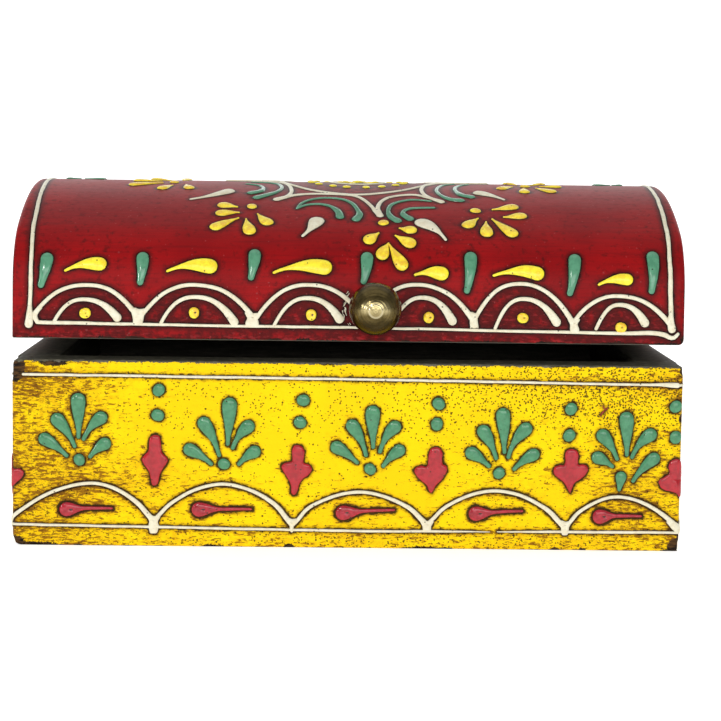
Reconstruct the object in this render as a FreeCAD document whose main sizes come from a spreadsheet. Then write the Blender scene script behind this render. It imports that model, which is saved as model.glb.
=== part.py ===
import FreeCAD, Part
import math
import os
import Sketcher

# A small wooden keepsake box: a rectangular base of four boards and a bottom
# panel, and a vaulted lid on two brass butt hinges, pulled up by a brass knob.
# Millimetres. Origin: centre of the base underside. +X along the length,
# the front faces -Y, +Z up. The lid stands a little ajar.

V = FreeCAD.Vector
doc = FreeCAD.newDocument("keepsake_box")

# ---------------------------------------------------------------- dimensions
SIZES = [
    ("box_width", 152.0), ("box_depth", 102.0), ("base_height", 42.5),
    ("wall_thick", 10.0), ("corner_round", 1.6),
    ("bottom_thick", 4.0), ("bottom_lap", 4.0),
    ("rim_gap", 0.1), ("hinge_setback", 2.1), ("lid_ajar", 2.53),
    ("lid_height", 37.1), ("lid_spring", 12.0), ("haunch_rad", 16.0),
    ("shell_thick", 4.5),
    ("rail_thick", 10.0), ("end_thick", 10.0),
    ("hinge_spacing", 92.0), ("hinge_length", 22.0), ("leaf_wide", 8.6),
    ("leaf_thick", 0.9), ("leaf_gap", 0.05), ("barrel_rad", 1.7),
    ("pin_rad", 0.8), ("pin_clear", 0.04), ("pin_head_rad", 1.25),
    ("pin_head_tall", 0.6), ("knuckle_len", 7.0), ("knuckle_gap", 0.15),
    ("screw_head_rad", 1.75), ("screw_head_deep", 0.8),
    ("screw_shank_rad", 0.95), ("screw_len", 8.0), ("screw_pitch", 13.0),
    ("screw_inset", 6.6), ("slot_wide", 0.5), ("slot_deep", 0.35),
    ("nail_head_rad", 1.2), ("nail_head_tall", 0.7), ("nail_rad", 0.7),
    ("nail_len", 26.0), ("nail_set", 0.8), ("nail_low", 11.0),
    ("nail_high", 31.5),
    ("brad_head_rad", 0.95), ("brad_rad", 0.55), ("brad_len", 14.0),
    ("brad_set", 0.6),
    ("knob_side", 5.7), ("knob_up", 7.75), ("knob_rad", 5.85),
    ("knob_centre", 8.2), ("knob_neck_rad", 2.5), ("knob_collar_rad", 3.6),
    ("knob_collar_tall", 1.4), ("knob_seat", 0.3),
    ("bolt_rad", 1.45), ("bolt_clear", 0.25), ("bolt_grip", 5.0),
    ("bolt_head_rad", 2.9), ("bolt_head_tall", 1.9), ("bolt_slot_deep", 0.9),
    ("bolt_slot_wide", 0.8), ("washer_rad", 4.0), ("washer_thick", 0.8),
]
dims = doc.addObject("Spreadsheet::Sheet", "dims")
for row, (alias, number) in enumerate(SIZES, start=1):
    dims.set("A%d" % row, alias)
    dims.set("B%d" % row, repr(number))
    dims.setAlias("B%d" % row, alias)
doc.recompute()


class Dim:
    """A length together with the sheet expression that gives it."""

    def __init__(self, number, text):
        self.number = float(number)
        self.text = text

    @staticmethod
    def of(other):
        if isinstance(other, Dim):
            return other
        return Dim(other, "(%r)" % float(other))

    def __add__(self, other):
        o = Dim.of(other)
        return Dim(self.number + o.number, "(%s + %s)" % (self.text, o.text))

    __radd__ = __add__

    def __sub__(self, other):
        o = Dim.of(other)
        return Dim(self.number - o.number, "(%s - %s)" % (self.text, o.text))

    def __rsub__(self, other):
        return Dim.of(other) - self

    def __mul__(self, other):
        o = Dim.of(other)
        return Dim(self.number * o.number, "(%s * %s)" % (self.text, o.text))

    __rmul__ = __mul__

    def __truediv__(self, other):
        o = Dim.of(other)
        return Dim(self.number / o.number, "(%s / %s)" % (self.text, o.text))

    def __neg__(self):
        return Dim(-self.number, "(0 - %s)" % self.text)


class Sheet:
    pass


d = Sheet()
for alias, number in SIZES:
    setattr(d, alias, Dim(dims.get(alias), "dims." + alias))

half_w = d.box_width / 2
half_d = d.box_depth / 2
hinge_y = half_d + d.hinge_setback
hinge_z = d.base_height + d.rim_gap
# The lid is drawn shut, from the hinge axis; its middle lies this far forward.
lid_mid = -(half_d + d.hinge_setback)
lid_front = lid_mid - half_d
lid_back = -d.hinge_setback
spring_z = d.rim_gap + d.lid_spring
vault_rise = d.lid_height - d.lid_spring


# ------------------------------------------------------------------- helpers
def bind(obj, prop, dim):
    obj.setExpression(prop, Dim.of(dim).text)


def put(obj, x=0.0, y=0.0, z=0.0, axis=None, angle=0.0):
    """Place an object, its position following the sheet."""
    x, y, z = Dim.of(x), Dim.of(y), Dim.of(z)
    rot = FreeCAD.Rotation(axis, angle) if axis is not None else FreeCAD.Rotation()
    obj.Placement = FreeCAD.Placement(V(x.number, y.number, z.number), rot)
    for prop, dim in (("x", x), ("y", y), ("z", z)):
        bind(obj, "Placement.Base." + prop, dim)
    return obj


def lid_pose(obj):
    """Stand a lid piece on the hinge axis, swung up by the ajar angle."""
    put(obj, 0.0, hinge_y, hinge_z, V(-1, 0, 0), d.lid_ajar.number)
    bind(obj, "Placement.Rotation.Angle", d.lid_ajar)
    return obj


def plane(body, role):
    for feature in body.Origin.OriginFeatures:
        if feature.Role == role:
            return feature
    raise RuntimeError(role)


def outline(body, role, corners, name="Outline"):
    """A closed sketch of straight edges, each corner set from the sheet."""
    sk = body.newObject("Sketcher::SketchObject", body.Name + name)
    sk.AttachmentSupport = [(plane(body, role), "")]
    sk.MapMode = "FlatFace"
    pts = [(Dim.of(a), Dim.of(b)) for a, b in corners]
    n = len(pts)
    for i in range(n):
        p, q = pts[i], pts[(i + 1) % n]
        sk.addGeometry(Part.LineSegment(V(p[0].number, p[1].number, 0),
                                        V(q[0].number, q[1].number, 0)), False)
    for i in range(n):
        sk.addConstraint(Sketcher.Constraint("Coincident", i, 2, (i + 1) % n, 1))
    for i in range(n):
        for k, kind in enumerate(("DistanceX", "DistanceY")):
            dim = pts[i][k]
            if abs(dim.number) < 1e-9:
                sk.addConstraint(Sketcher.Constraint(
                    "PointOnObject", i, 1, -2 if k == 0 else -1))
            else:
                c = sk.addConstraint(Sketcher.Constraint(
                    kind, -1, 1, i, 1, dim.number))
                label = "corner%d%s" % (i, "ab"[k])
                sk.renameConstraint(c, label)
                bind(sk, "Constraints." + label, dim)
    return sk


def new_body(name):
    return doc.addObject("PartDesign::Body", name)


def pad_of(body, sketch, length, symmetric=True):
    pad = body.newObject("PartDesign::Pad", body.Name + "Pad")
    pad.Profile = sketch
    bind(pad, "Length", length)
    if symmetric:
        pad.SideType = "Symmetric"
    sketch.Visibility = False
    body.Tip = pad
    doc.recompute()
    return pad


def turn(body, sketch):
    rev = body.newObject("PartDesign::Revolution", body.Name + "Turn")
    rev.Profile = sketch
    rev.ReferenceAxis = (sketch, ["V_Axis"])
    rev.Angle = 360.0
    body.Tip = rev
    doc.recompute()
    return rev


def round_edges(body, radius, wanted):
    """Round the edges whose two end points the test accepts."""
    base = body.Tip
    names = []
    for i, e in enumerate(base.Shape.Edges, start=1):
        if len(e.Vertexes) == 2 and wanted(e.Vertexes[0].Point, e.Vertexes[1].Point):
            names.append("Edge%d" % i)
    fil = body.newObject("PartDesign::Fillet", body.Name + "Round")
    fil.Base = (base, names)
    bind(fil, "Radius", radius)
    body.Tip = fil
    doc.recompute()
    return fil


def box(name, x0, x1, y0, y1, z0, z1):
    b = doc.addObject("Part::Box", name)
    bind(b, "Length", Dim.of(x1) - x0)
    bind(b, "Width", Dim.of(y1) - y0)
    bind(b, "Height", Dim.of(z1) - z0)
    put(b, x0, y0, z0)
    return b


def rod(name, radius, x0, length):
    """A round bar along X on the hinge axis."""
    c = doc.addObject("Part::Cylinder", name)
    bind(c, "Radius", radius)
    bind(c, "Height", length)
    put(c, x0, 0.0, 0.0, V(0, 1, 0), 90)
    return c


def group(name, pieces):
    g = doc.addObject("Part::Compound", name)
    g.Links = pieces
    return g


def fuse(name, pieces):
    f = doc.addObject("Part::MultiFuse", name)
    f.Shapes = pieces
    f.Refine = True
    return f


def cut(name, base, tool):
    c = doc.addObject("Part::Cut", name)
    c.Base = base
    c.Tool = tool
    c.Refine = True
    return c


def common(name, a, b):
    c = doc.addObject("Part::Common", name)
    c.Base = a
    c.Tool = b
    c.Refine = True
    return c


nodes = []


def node(obj, label):
    obj.Label = label
    nodes.append((label, obj))
    return obj


def nail(name, head_rad, head_tall, rad, length, role="XY_Plane"):
    """A headed nail; its head top is at the origin and it runs along +Y
    (or +Z when drawn on the XZ plane)."""
    b = new_body(name)
    sk = outline(b, role, [
        (0.0, 0.0), (head_rad, 0.0), (head_rad, head_tall), (rad, head_tall),
        (rad, length - 2 * rad), (0.0, length)])
    turn(b, sk)
    return b


def same(p, q, tol=1e-4):
    return abs(p - q) < tol


# ---------------------------------------------------------------- base boards
def long_board(name, side):
    """Front (-1) or back (+1) board, full length, outer corners rounded."""
    b = new_body(name)
    outer, inner = side * half_d, side * (half_d - d.wall_thick)
    sk = outline(b, "YZ_Plane", [(outer, 0.0), (inner, 0.0),
                                 (inner, d.base_height), (outer, d.base_height)])
    pad_of(b, sk, d.box_width)
    y = outer.number
    w = half_w.number
    round_edges(b, d.corner_round, lambda p, q: (
        same(p.y, y) and same(q.y, y) and same(abs(p.x), w) and same(p.x, q.x)))
    return b


def short_board(name, side):
    b = new_body(name)
    outer, inner = side * half_w, side * (half_w - d.wall_thick)
    sk = outline(b, "XZ_Plane", [(outer, 0.0), (inner, 0.0),
                                 (inner, d.base_height), (outer, d.base_height)])
    pad_of(b, sk, d.box_depth - 2 * d.wall_thick)
    return b


front_blank = long_board("FrontBoard", -1)
back_blank = long_board("BackBoard", 1)
left_blank = short_board("LeftBoard", -1)
right_blank = short_board("RightBoard", 1)

panel_x = half_w - d.wall_thick + d.bottom_lap
panel_y = half_d - d.wall_thick + d.bottom_lap
panel_blank = new_body("BottomBoard")
pad_of(panel_blank, outline(panel_blank, "XY_Plane", [
    (-panel_x, -panel_y), (panel_x, -panel_y),
    (panel_x, panel_y), (-panel_x, panel_y)]), d.bottom_thick, symmetric=False)

# Nails driven through the long boards into the ends of the short boards.
corner_list = []
nail_x = half_w - d.wall_thick / 2
for sx in (-1, 1):
    for sy in (-1, 1):
        for nz in (d.nail_low, d.nail_high):
            n = nail("CornerNail%d" % len(corner_list), d.nail_head_rad,
                     d.nail_head_tall, d.nail_rad, d.nail_len)
            put(n, sx * nail_x, sy * (half_d - d.nail_set), nz,
                V(0, 0, 1), 0 if sy < 0 else 180)
            corner_list.append(n)
corner_nails = node(group("CornerNails", corner_list), "base_corner_nails")

# Brads up through the bottom panel into the rebated boards.
brad_list = []
lap_x = panel_x - d.bottom_lap / 2
lap_y = panel_y - d.bottom_lap / 2
brad_spots = []
for sy in (-1, 1):
    for f in (-0.34, 0.0, 0.34):
        brad_spots.append((f * d.box_width, sy * lap_y))
for sx in (-1, 1):
    for f in (-0.2, 0.2):
        brad_spots.append((sx * lap_x, f * d.box_depth))
for bx, by in brad_spots:
    n = nail("BottomBrad%d" % len(brad_list), d.brad_head_rad, d.nail_head_tall,
             d.brad_rad, d.brad_len, "XZ_Plane")
    put(n, bx, by, d.brad_set)
    brad_list.append(n)
bottom_brads = node(group("BottomBrads", brad_list), "base_bottom_brads")


# -------------------------------------------------------------------- hinges
def csk_screw(name, up):
    """A countersunk slotted wood screw, head face at the origin; the point
    goes down, or up for the lid."""
    s = 1 if up else -1
    b = new_body(name)
    sk = outline(b, "XZ_Plane", [
        (0.0, 0.0), (d.screw_head_rad, 0.0),
        (d.screw_shank_rad, s * d.screw_head_deep),
        (d.screw_shank_rad, s * (d.screw_len - 2 * d.screw_shank_rad)),
        (0.0, s * d.screw_len)])
    turn(b, sk)
    return b


def slotted(name, screw, x, y, z, up):
    s = 1 if up else -1
    z = Dim.of(z)
    low, high = (z - 0.1, z + d.slot_deep) if up else (z - d.slot_deep, z + 0.1)
    saw = box(name + "Saw", x - d.slot_wide / 2, x + d.slot_wide / 2,
              y - 2 * d.screw_head_rad, y + 2 * d.screw_head_rad, low, high)
    return cut(name, screw, saw)


hinge_nodes = []
base_leaf_tools, lid_leaf_tools = [], []
base_screw_solids, lid_screw_solids = [], []
base_screw_slotted, lid_screw_slotted = [], []
hinge_parts = []
for tag, side in (("left", -1), ("right", 1)):
    cx = side * d.hinge_spacing / 2
    x0, x1 = cx - d.hinge_length / 2, cx + d.hinge_length / 2
    k0, k1 = cx - d.knuckle_len / 2, cx + d.knuckle_len / 2
    cap = tag.capitalize()
    leaf_y0 = -(d.hinge_setback + d.leaf_wide)
    notch_y = -d.hinge_setback

    # Base leaf: plate with the two outer knuckles.
    low_plate = box(cap + "LowPlate", x0, x1, leaf_y0, 0.0,
                    -(d.leaf_gap + d.leaf_thick), -d.leaf_gap)
    low_notch = box(cap + "LowNotch", k0 - d.knuckle_gap, k1 + d.knuckle_gap,
                    notch_y, d.barrel_rad + 1, -(d.barrel_rad + 1), d.barrel_rad + 1)
    low_barrel = rod(cap + "LowBarrel", d.barrel_rad, x0, d.hinge_length)
    low_bore = rod(cap + "LowBore", d.pin_rad, x0 - 2, d.hinge_length + 4)
    low_leaf = cut(cap + "LowLeaf", fuse(cap + "LowBody", [low_plate, low_barrel]),
                   group(cap + "LowAway", [low_notch, low_bore]))

    # Lid leaf: plate with the middle knuckle, free to turn on the pin.
    top_plate = box(cap + "TopPlate", x0, x1, leaf_y0, notch_y,
                    d.leaf_gap, d.leaf_gap + d.leaf_thick)
    top_tongue = box(cap + "TopTongue", k0, k1, notch_y - 1, 0.0,
                     d.leaf_gap, d.leaf_gap + d.leaf_thick)
    top_barrel = rod(cap + "TopBarrel", d.barrel_rad, k0, d.knuckle_len)
    top_bore = rod(cap + "TopBore", d.pin_rad + d.pin_clear, x0 - 2,
                   d.hinge_length + 4)
    top_leaf = cut(cap + "TopLeaf",
                   fuse(cap + "TopBody", [top_plate, top_tongue, top_barrel]),
                   top_bore)

    # Pin with a small rounded-over head at each end.
    pin = fuse(cap + "Pin", [
        rod(cap + "PinBar", d.pin_rad, x0 - d.pin_head_tall,
            d.hinge_length + 2 * d.pin_head_tall),
        rod(cap + "PinHeadA", d.pin_head_rad, x0 - d.pin_head_tall, d.pin_head_tall),
        rod(cap + "PinHeadB", d.pin_head_rad, x1, d.pin_head_tall)])

    low_screws, top_screws = [], []
    for j, sp in enumerate((-1, 1)):
        sx = cx + sp * d.screw_pitch / 2
        sy = -d.screw_inset
        nm = "%sLowScrew%d" % (cap, j)
        s = csk_screw(nm + "Blank", False)
        put(s, sx, sy, -d.leaf_gap)
        low_screws.append(s)
        base_screw_slotted.append(slotted(nm, s, sx, sy, -d.leaf_gap, False))
        nm = "%sTopScrew%d" % (cap, j)
        s = csk_screw(nm + "Blank", True)
        put(s, sx, sy, d.leaf_gap)
        top_screws.append(s)
        lid_screw_slotted.append(slotted(nm, s, sx, sy, d.leaf_gap, True))

    low_final = cut(cap + "BaseLeaf", low_leaf, group(cap + "LowHoles", low_screws))
    top_final = cut(cap + "LidLeaf", top_leaf, group(cap + "TopHoles", top_screws))
    put(low_final, 0.0, hinge_y, hinge_z)
    lid_pose(top_final)
    put(pin, 0.0, hinge_y, hinge_z)
    hinge_parts.append((tag, low_final, top_final, pin))
    base_leaf_tools.append(low_plate)
    lid_leaf_tools.append(top_plate)
    base_screw_solids += low_screws
    lid_screw_solids += top_screws

base_screws = node(group("BaseHingeScrews", base_screw_slotted), "hinge_base_screws")
put(base_screws, 0.0, hinge_y, hinge_z)
lid_screws = node(group("LidHingeScrews", lid_screw_slotted), "hinge_lid_screws")
lid_pose(lid_screws)
for tag, low, top, pin in hinge_parts:
    node(low, tag + "_hinge_base_leaf")
    node(top, tag + "_hinge_lid_leaf")
    node(pin, tag + "_hinge_pin")

# Leaf mortises and screw holes of the back board, moved to the hinge axis.
base_mortise = group("BaseMortise", base_leaf_tools + base_screw_solids)
put(base_mortise, 0.0, hinge_y, hinge_z)

node(cut("BaseFront", front_blank,
         group("FrontAway", [panel_blank, corner_nails, bottom_brads])),
     "base_front_wall")
node(cut("BaseBack", back_blank,
         group("BackAway", [panel_blank, corner_nails, bottom_brads, base_mortise])),
     "base_back_wall")
node(cut("BaseLeft", left_blank,
         group("LeftAway", [panel_blank, corner_nails, bottom_brads])),
     "base_left_wall")
node(cut("BaseRight", right_blank,
         group("RightAway", [panel_blank, corner_nails, bottom_brads])),
     "base_right_wall")
node(cut("BaseBottom", panel_blank, bottom_brads), "base_bottom_panel")


# ----------------------------------------------------------------------- lid
def vault(name, inset):
    """A bar of three-centred arch section along the length of the box: two
    quick side curves and one flat crown, running straight down below."""
    b = new_body(name)
    sk = b.newObject("Sketcher::SketchObject", name + "Outline")
    sk.AttachmentSupport = [(plane(b, "YZ_Plane"), "")]
    sk.MapMode = "FlatFace"
    half, rise = half_d - inset, vault_rise - inset
    small = d.haunch_rad - inset
    crown = ((half - small) * (half - small) + rise * rise - small * small) / (
        2 * (rise - small))
    mid, spring = lid_mid, spring_z
    low = spring - 6
    m, z0 = mid.number, spring.number
    h, r1, r2 = half.number, small.number, crown.number
    zc = z0 + rise.number - r2
    lean = math.atan2(z0 - zc, h - r1)
    tan_y, tan_z = r2 * math.cos(lean), zc + r2 * math.sin(lean)
    up = V(0, 0, 1)
    sk.addGeometry(Part.ArcOfCircle(Part.Circle(V(m + h - r1, z0, 0), up, r1),
                                    0.0, lean), False)
    sk.addGeometry(Part.ArcOfCircle(Part.Circle(V(m, zc, 0), up, r2),
                                    lean, math.pi - lean), False)
    sk.addGeometry(Part.ArcOfCircle(Part.Circle(V(m - h + r1, z0, 0), up, r1),
                                    math.pi - lean, math.pi), False)
    sk.addGeometry(Part.LineSegment(V(m - h, z0, 0), V(m - h, low.number, 0)), False)
    sk.addGeometry(Part.LineSegment(V(m - h, low.number, 0), V(m + h, low.number, 0)), False)
    sk.addGeometry(Part.LineSegment(V(m + h, low.number, 0), V(m + h, z0, 0)), False)
    sk.addConstraint(Sketcher.Constraint("Tangent", 0, 2, 1, 1))
    sk.addConstraint(Sketcher.Constraint("Tangent", 1, 2, 2, 1))
    for i, j in ((2, 3), (3, 4), (4, 5), (5, 0)):
        sk.addConstraint(Sketcher.Constraint("Coincident", i, 2, j, 1))
    sk.addConstraint(Sketcher.Constraint("Vertical", 3))
    sk.addConstraint(Sketcher.Constraint("Vertical", 5))
    sk.addConstraint(Sketcher.Constraint("Horizontal", 4))
    for label, con, dim in (
            ("right_mid", Sketcher.Constraint("DistanceX", -1, 1, 0, 3, m + h - r1),
             mid + half - small),
            ("right_up", Sketcher.Constraint("DistanceY", -1, 1, 0, 3, z0), spring),
            ("left_mid", Sketcher.Constraint("DistanceX", -1, 1, 2, 3, m - h + r1),
             mid - half + small),
            ("left_up", Sketcher.Constraint("DistanceY", -1, 1, 2, 3, z0), spring),
            ("right_rad", Sketcher.Constraint("Radius", 0, r1), small),
            ("left_rad", Sketcher.Constraint("Radius", 2, r1), small),
            ("crown_rad", Sketcher.Constraint("Radius", 1, r2), crown),
            ("right_foot", Sketcher.Constraint("DistanceY", -1, 1, 0, 1, z0), spring),
            ("left_foot", Sketcher.Constraint("DistanceY", -1, 1, 2, 2, z0), spring),
            ("floor_up", Sketcher.Constraint("DistanceY", -1, 1, 4, 1, low.number), low)):
        c = sk.addConstraint(con)
        sk.renameConstraint(c, label)
        bind(sk, "Constraints." + label, dim)
    pad_of(b, sk, d.box_width)
    return b


outer_vault = vault("OuterVault", Dim.of(0.0))
inner_vault = vault("InnerVault", d.shell_thick)
above = box("AboveSpring", -half_w - 1, half_w + 1, lid_front - 1, lid_back + 1,
            spring_z, spring_z + vault_rise + 2)
shell_blank = cut("ShellBlank", common("VaultTop", outer_vault, above), inner_vault)


def rail(name, side):
    b = new_body(name)
    outer = lid_front if side < 0 else lid_back
    inner = outer + d.rail_thick if side < 0 else outer - d.rail_thick
    sk = outline(b, "YZ_Plane", [(outer, d.rim_gap), (inner, d.rim_gap),
                                 (inner, spring_z), (outer, spring_z)])
    pad_of(b, sk, d.box_width)
    y = outer.number
    w = half_w.number
    round_edges(b, d.corner_round, lambda p, q: (
        same(p.y, y) and same(q.y, y) and same(abs(p.x), w) and same(p.x, q.x)))
    return b


front_rail_blank = rail("FrontRail", -1)
back_rail_blank = rail("BackRail", 1)


def end_board(name, side):
    """Arched end: the arch lies under the shell, the foot between the rails."""
    xa, xb = (-half_w, -half_w + d.end_thick) if side < 0 else (half_w - d.end_thick, half_w)
    slab = box(name + "Slab", xa, xb, lid_front - 1, lid_back + 1,
               spring_z, spring_z + vault_rise + 2)
    arch = common(name + "Arch", inner_vault, slab)
    foot = box(name + "Foot", xa, xb, lid_front + d.rail_thick,
               lid_back - d.rail_thick, d.rim_gap, spring_z)
    return fuse(name, [arch, foot])


left_end_blank = end_board("LeftEnd", -1)
right_end_blank = end_board("RightEnd", 1)

# Nails through the rails into the feet of the ends.
rail_list = []
for sx in (-1, 1):
    for sy in (-1, 1):
        n = nail("RailNail%d" % len(rail_list), d.nail_head_rad,
                 d.nail_head_tall, d.nail_rad, d.nail_len)
        ny = lid_front + d.nail_set if sy < 0 else lid_back - d.nail_set
        put(n, sx * nail_x, ny, d.rim_gap + d.lid_spring / 2, V(0, 0, 1),
            0 if sy < 0 else 180)
        rail_list.append(n)
rail_nails = group("RailNails", rail_list)

# Brads through the shell into the arched ends, square to the curve.
arch_list = []
a_out, b_out, r_out = half_d.number, vault_rise.number, d.haunch_rad.number
r_top = ((a_out - r_out) ** 2 + b_out ** 2 - r_out ** 2) / (2 * (b_out - r_out))
for sx in (-1, 1):
    for deg in (32.0, 74.0, 90.0, 106.0, 148.0):
        c, s = math.cos(math.radians(deg)), math.sin(math.radians(deg))
        if abs(deg - 90.0) > 45.0:
            side = 1 if c > 0 else -1
            at_y, at_z = side * (a_out - r_out) + r_out * c, r_out * s
        else:
            at_y, at_z = r_top * c, b_out - r_top + r_top * s
        n = nail("ArchBrad%d" % len(arch_list), d.brad_head_rad,
                 d.nail_head_tall, d.brad_rad, d.brad_len)
        put(n, sx * nail_x, lid_mid + at_y - d.brad_set * c,
            spring_z + at_z - d.brad_set * s, V(1, 0, 0),
            math.degrees(math.atan2(-s, -c)))
        arch_list.append(n)
arch_brads = group("ArchBrads", arch_list)

lid_mortise = group("LidMortise", lid_leaf_tools + lid_screw_solids)

# ---------------------------------------------------------------------- knob
# Turned brass ball on a neck and collar, drawn outwards along +Y.
knob_blank = new_body("KnobBlank")
ksk = knob_blank.newObject("Sketcher::SketchObject", "KnobOutline")
ksk.AttachmentSupport = [(plane(knob_blank, "XY_Plane"), "")]
ksk.MapMode = "FlatFace"
cr, ct = d.knob_collar_rad.number, d.knob_collar_tall.number
nr, kr, kc = d.knob_neck_rad.number, d.knob_rad.number, d.knob_centre.number
yn = kc - math.sqrt(kr * kr - nr * nr)
ksk.addGeometry(Part.LineSegment(V(0, 0, 0), V(cr, 0, 0)), False)
ksk.addGeometry(Part.LineSegment(V(cr, 0, 0), V(cr, ct, 0)), False)
ksk.addGeometry(Part.LineSegment(V(cr, ct, 0), V(nr, ct, 0)), False)
ksk.addGeometry(Part.LineSegment(V(nr, ct, 0), V(nr, yn, 0)), False)
ksk.addGeometry(Part.ArcOfCircle(Part.Circle(V(0, kc, 0), V(0, 0, 1), kr),
                                 math.atan2(yn - kc, nr), math.pi / 2), False)
ksk.addGeometry(Part.LineSegment(V(0, kc + kr, 0), V(0, 0, 0)), False)
for i, j, at in ((0, 1, 1), (1, 2, 1), (2, 3, 1), (3, 4, 1), (4, 5, 1), (5, 0, 1)):
    ksk.addConstraint(Sketcher.Constraint("Coincident", i, 2, j, at))
ksk.addConstraint(Sketcher.Constraint("Coincident", 0, 1, -1, 1))
ksk.addConstraint(Sketcher.Constraint("Horizontal", 0))
ksk.addConstraint(Sketcher.Constraint("Vertical", 1))
ksk.addConstraint(Sketcher.Constraint("Horizontal", 2))
ksk.addConstraint(Sketcher.Constraint("Vertical", 3))
ksk.addConstraint(Sketcher.Constraint("PointOnObject", 4, 3, -2))
ksk.addConstraint(Sketcher.Constraint("PointOnObject", 4, 2, -2))
for label, con, dim in (
        ("collar_rad", Sketcher.Constraint("DistanceX", -1, 1, 0, 2, cr), d.knob_collar_rad),
        ("collar_tall", Sketcher.Constraint("DistanceY", -1, 1, 1, 2, ct), d.knob_collar_tall),
        ("neck_rad", Sketcher.Constraint("DistanceX", -1, 1, 2, 2, nr), d.knob_neck_rad),
        ("ball_rad", Sketcher.Constraint("Radius", 4, kr), d.knob_rad),
        ("ball_centre", Sketcher.Constraint("DistanceY", -1, 1, 4, 3, kc), d.knob_centre)):
    c = ksk.addConstraint(con)
    ksk.renameConstraint(c, label)
    bind(ksk, "Constraints." + label, dim)
turn(knob_blank, ksk)
knob_z = d.rim_gap + d.knob_up
knob_seat_y = lid_front + d.knob_seat
put(knob_blank, d.knob_side, knob_seat_y, knob_z, V(0, 0, 1), 180)

# Slotted pan-head machine screw from inside the lid, and its washer.
rail_inner = lid_front + d.rail_thick
bolt_blank = new_body("BoltBlank")
bolt_end = d.rail_thick - d.knob_seat + d.bolt_grip
turn(bolt_blank, outline(bolt_blank, "XY_Plane", [
    (0.0, -(d.washer_thick + d.bolt_head_tall)),
    (d.bolt_head_rad * 0.8, -(d.washer_thick + d.bolt_head_tall)),
    (d.bolt_head_rad, -(d.washer_thick + d.bolt_head_tall * 0.6)),
    (d.bolt_head_rad, -d.washer_thick), (d.bolt_rad, -d.washer_thick),
    (d.bolt_rad, bolt_end), (0.0, bolt_end)]))
put(bolt_blank, d.knob_side, rail_inner, knob_z, V(0, 0, 1), 180)
head_y = rail_inner + d.washer_thick + d.bolt_head_tall
bolt_saw = box("BoltSaw", d.knob_side - 4, d.knob_side + 4,
               head_y - d.bolt_slot_deep, head_y + 1,
               knob_z - d.bolt_slot_wide / 2, knob_z + d.bolt_slot_wide / 2)
bolt = node(cut("KnobBolt", bolt_blank, bolt_saw), "knob_screw")
lid_pose(bolt)

washer_body = new_body("WasherRing")
turn(washer_body, outline(washer_body, "XY_Plane", [
    (d.bolt_rad + d.bolt_clear, 0.0), (d.washer_rad, 0.0),
    (d.washer_rad, d.washer_thick), (d.bolt_rad + d.bolt_clear, d.washer_thick)]))
put(washer_body, d.knob_side, rail_inner, knob_z)
washer = node(group("KnobWasher", [washer_body]), "knob_washer")
lid_pose(washer)

knob = node(cut("Knob", knob_blank, bolt_blank), "brass_knob")
lid_pose(knob)

bolt_way = doc.addObject("Part::Cylinder", "BoltWay")
bind(bolt_way, "Radius", d.bolt_rad + d.bolt_clear)
bind(bolt_way, "Height", d.rail_thick + 2)
put(bolt_way, d.knob_side, lid_front - 1, knob_z, V(1, 0, 0), -90)
seat_way = doc.addObject("Part::Cylinder", "KnobSeat")
bind(seat_way, "Radius", d.knob_collar_rad)
bind(seat_way, "Height", d.knob_seat + 1)
put(seat_way, d.knob_side, lid_front - 1, knob_z, V(1, 0, 0), -90)

lid_pose(node(cut("LidShell", shell_blank, arch_brads), "lid_vault_shell"))
lid_pose(node(cut("LidFrontRail", front_rail_blank,
                  group("FrontRailAway", [rail_nails, bolt_way, seat_way])),
              "lid_front_rail"))
lid_pose(node(cut("LidBackRail", back_rail_blank,
                  group("BackRailAway", [rail_nails, lid_mortise])),
              "lid_back_rail"))
end_away = group("EndAway", [rail_nails, arch_brads])
lid_pose(node(cut("LidLeftEnd", left_end_blank, end_away), "lid_left_end"))
lid_pose(node(cut("LidRightEnd", right_end_blank, end_away), "lid_right_end"))
lid_pose(node(group("LidRailNails", [rail_nails]), "lid_rail_nails"))
lid_pose(node(group("LidArchBrads", [arch_brads]), "lid_arch_brads"))

# -------------------------------------------------------------------- output
doc.recompute()
for o in doc.Objects:
    if "Invalid" in o.State or "Error" in o.State:
        raise RuntimeError("%s: %s" % (o.Name, o.State))
    shape = getattr(o, "Shape", None)
    if shape is not None and hasattr(o, "Placement") and o.TypeId.startswith(("Part", "Sketch")):
        if shape.isNull() or not shape.isValid():
            raise RuntimeError("%s: shape" % o.Name)
os.makedirs("parts", exist_ok=True)
for label, obj in nodes:
    obj.Shape.exportStep("parts/%s.step" % label)
    bb = obj.Shape.BoundBox
    print("%-24s solids %2d  volume %9.2f  x %.2f..%.2f y %.2f..%.2f z %.2f..%.2f" % (
        label, len(obj.Shape.Solids), obj.Shape.Volume, bb.XMin, bb.XMax,
        bb.YMin, bb.YMax, bb.ZMin, bb.ZMax))
print(len(nodes), "nodes")
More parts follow.
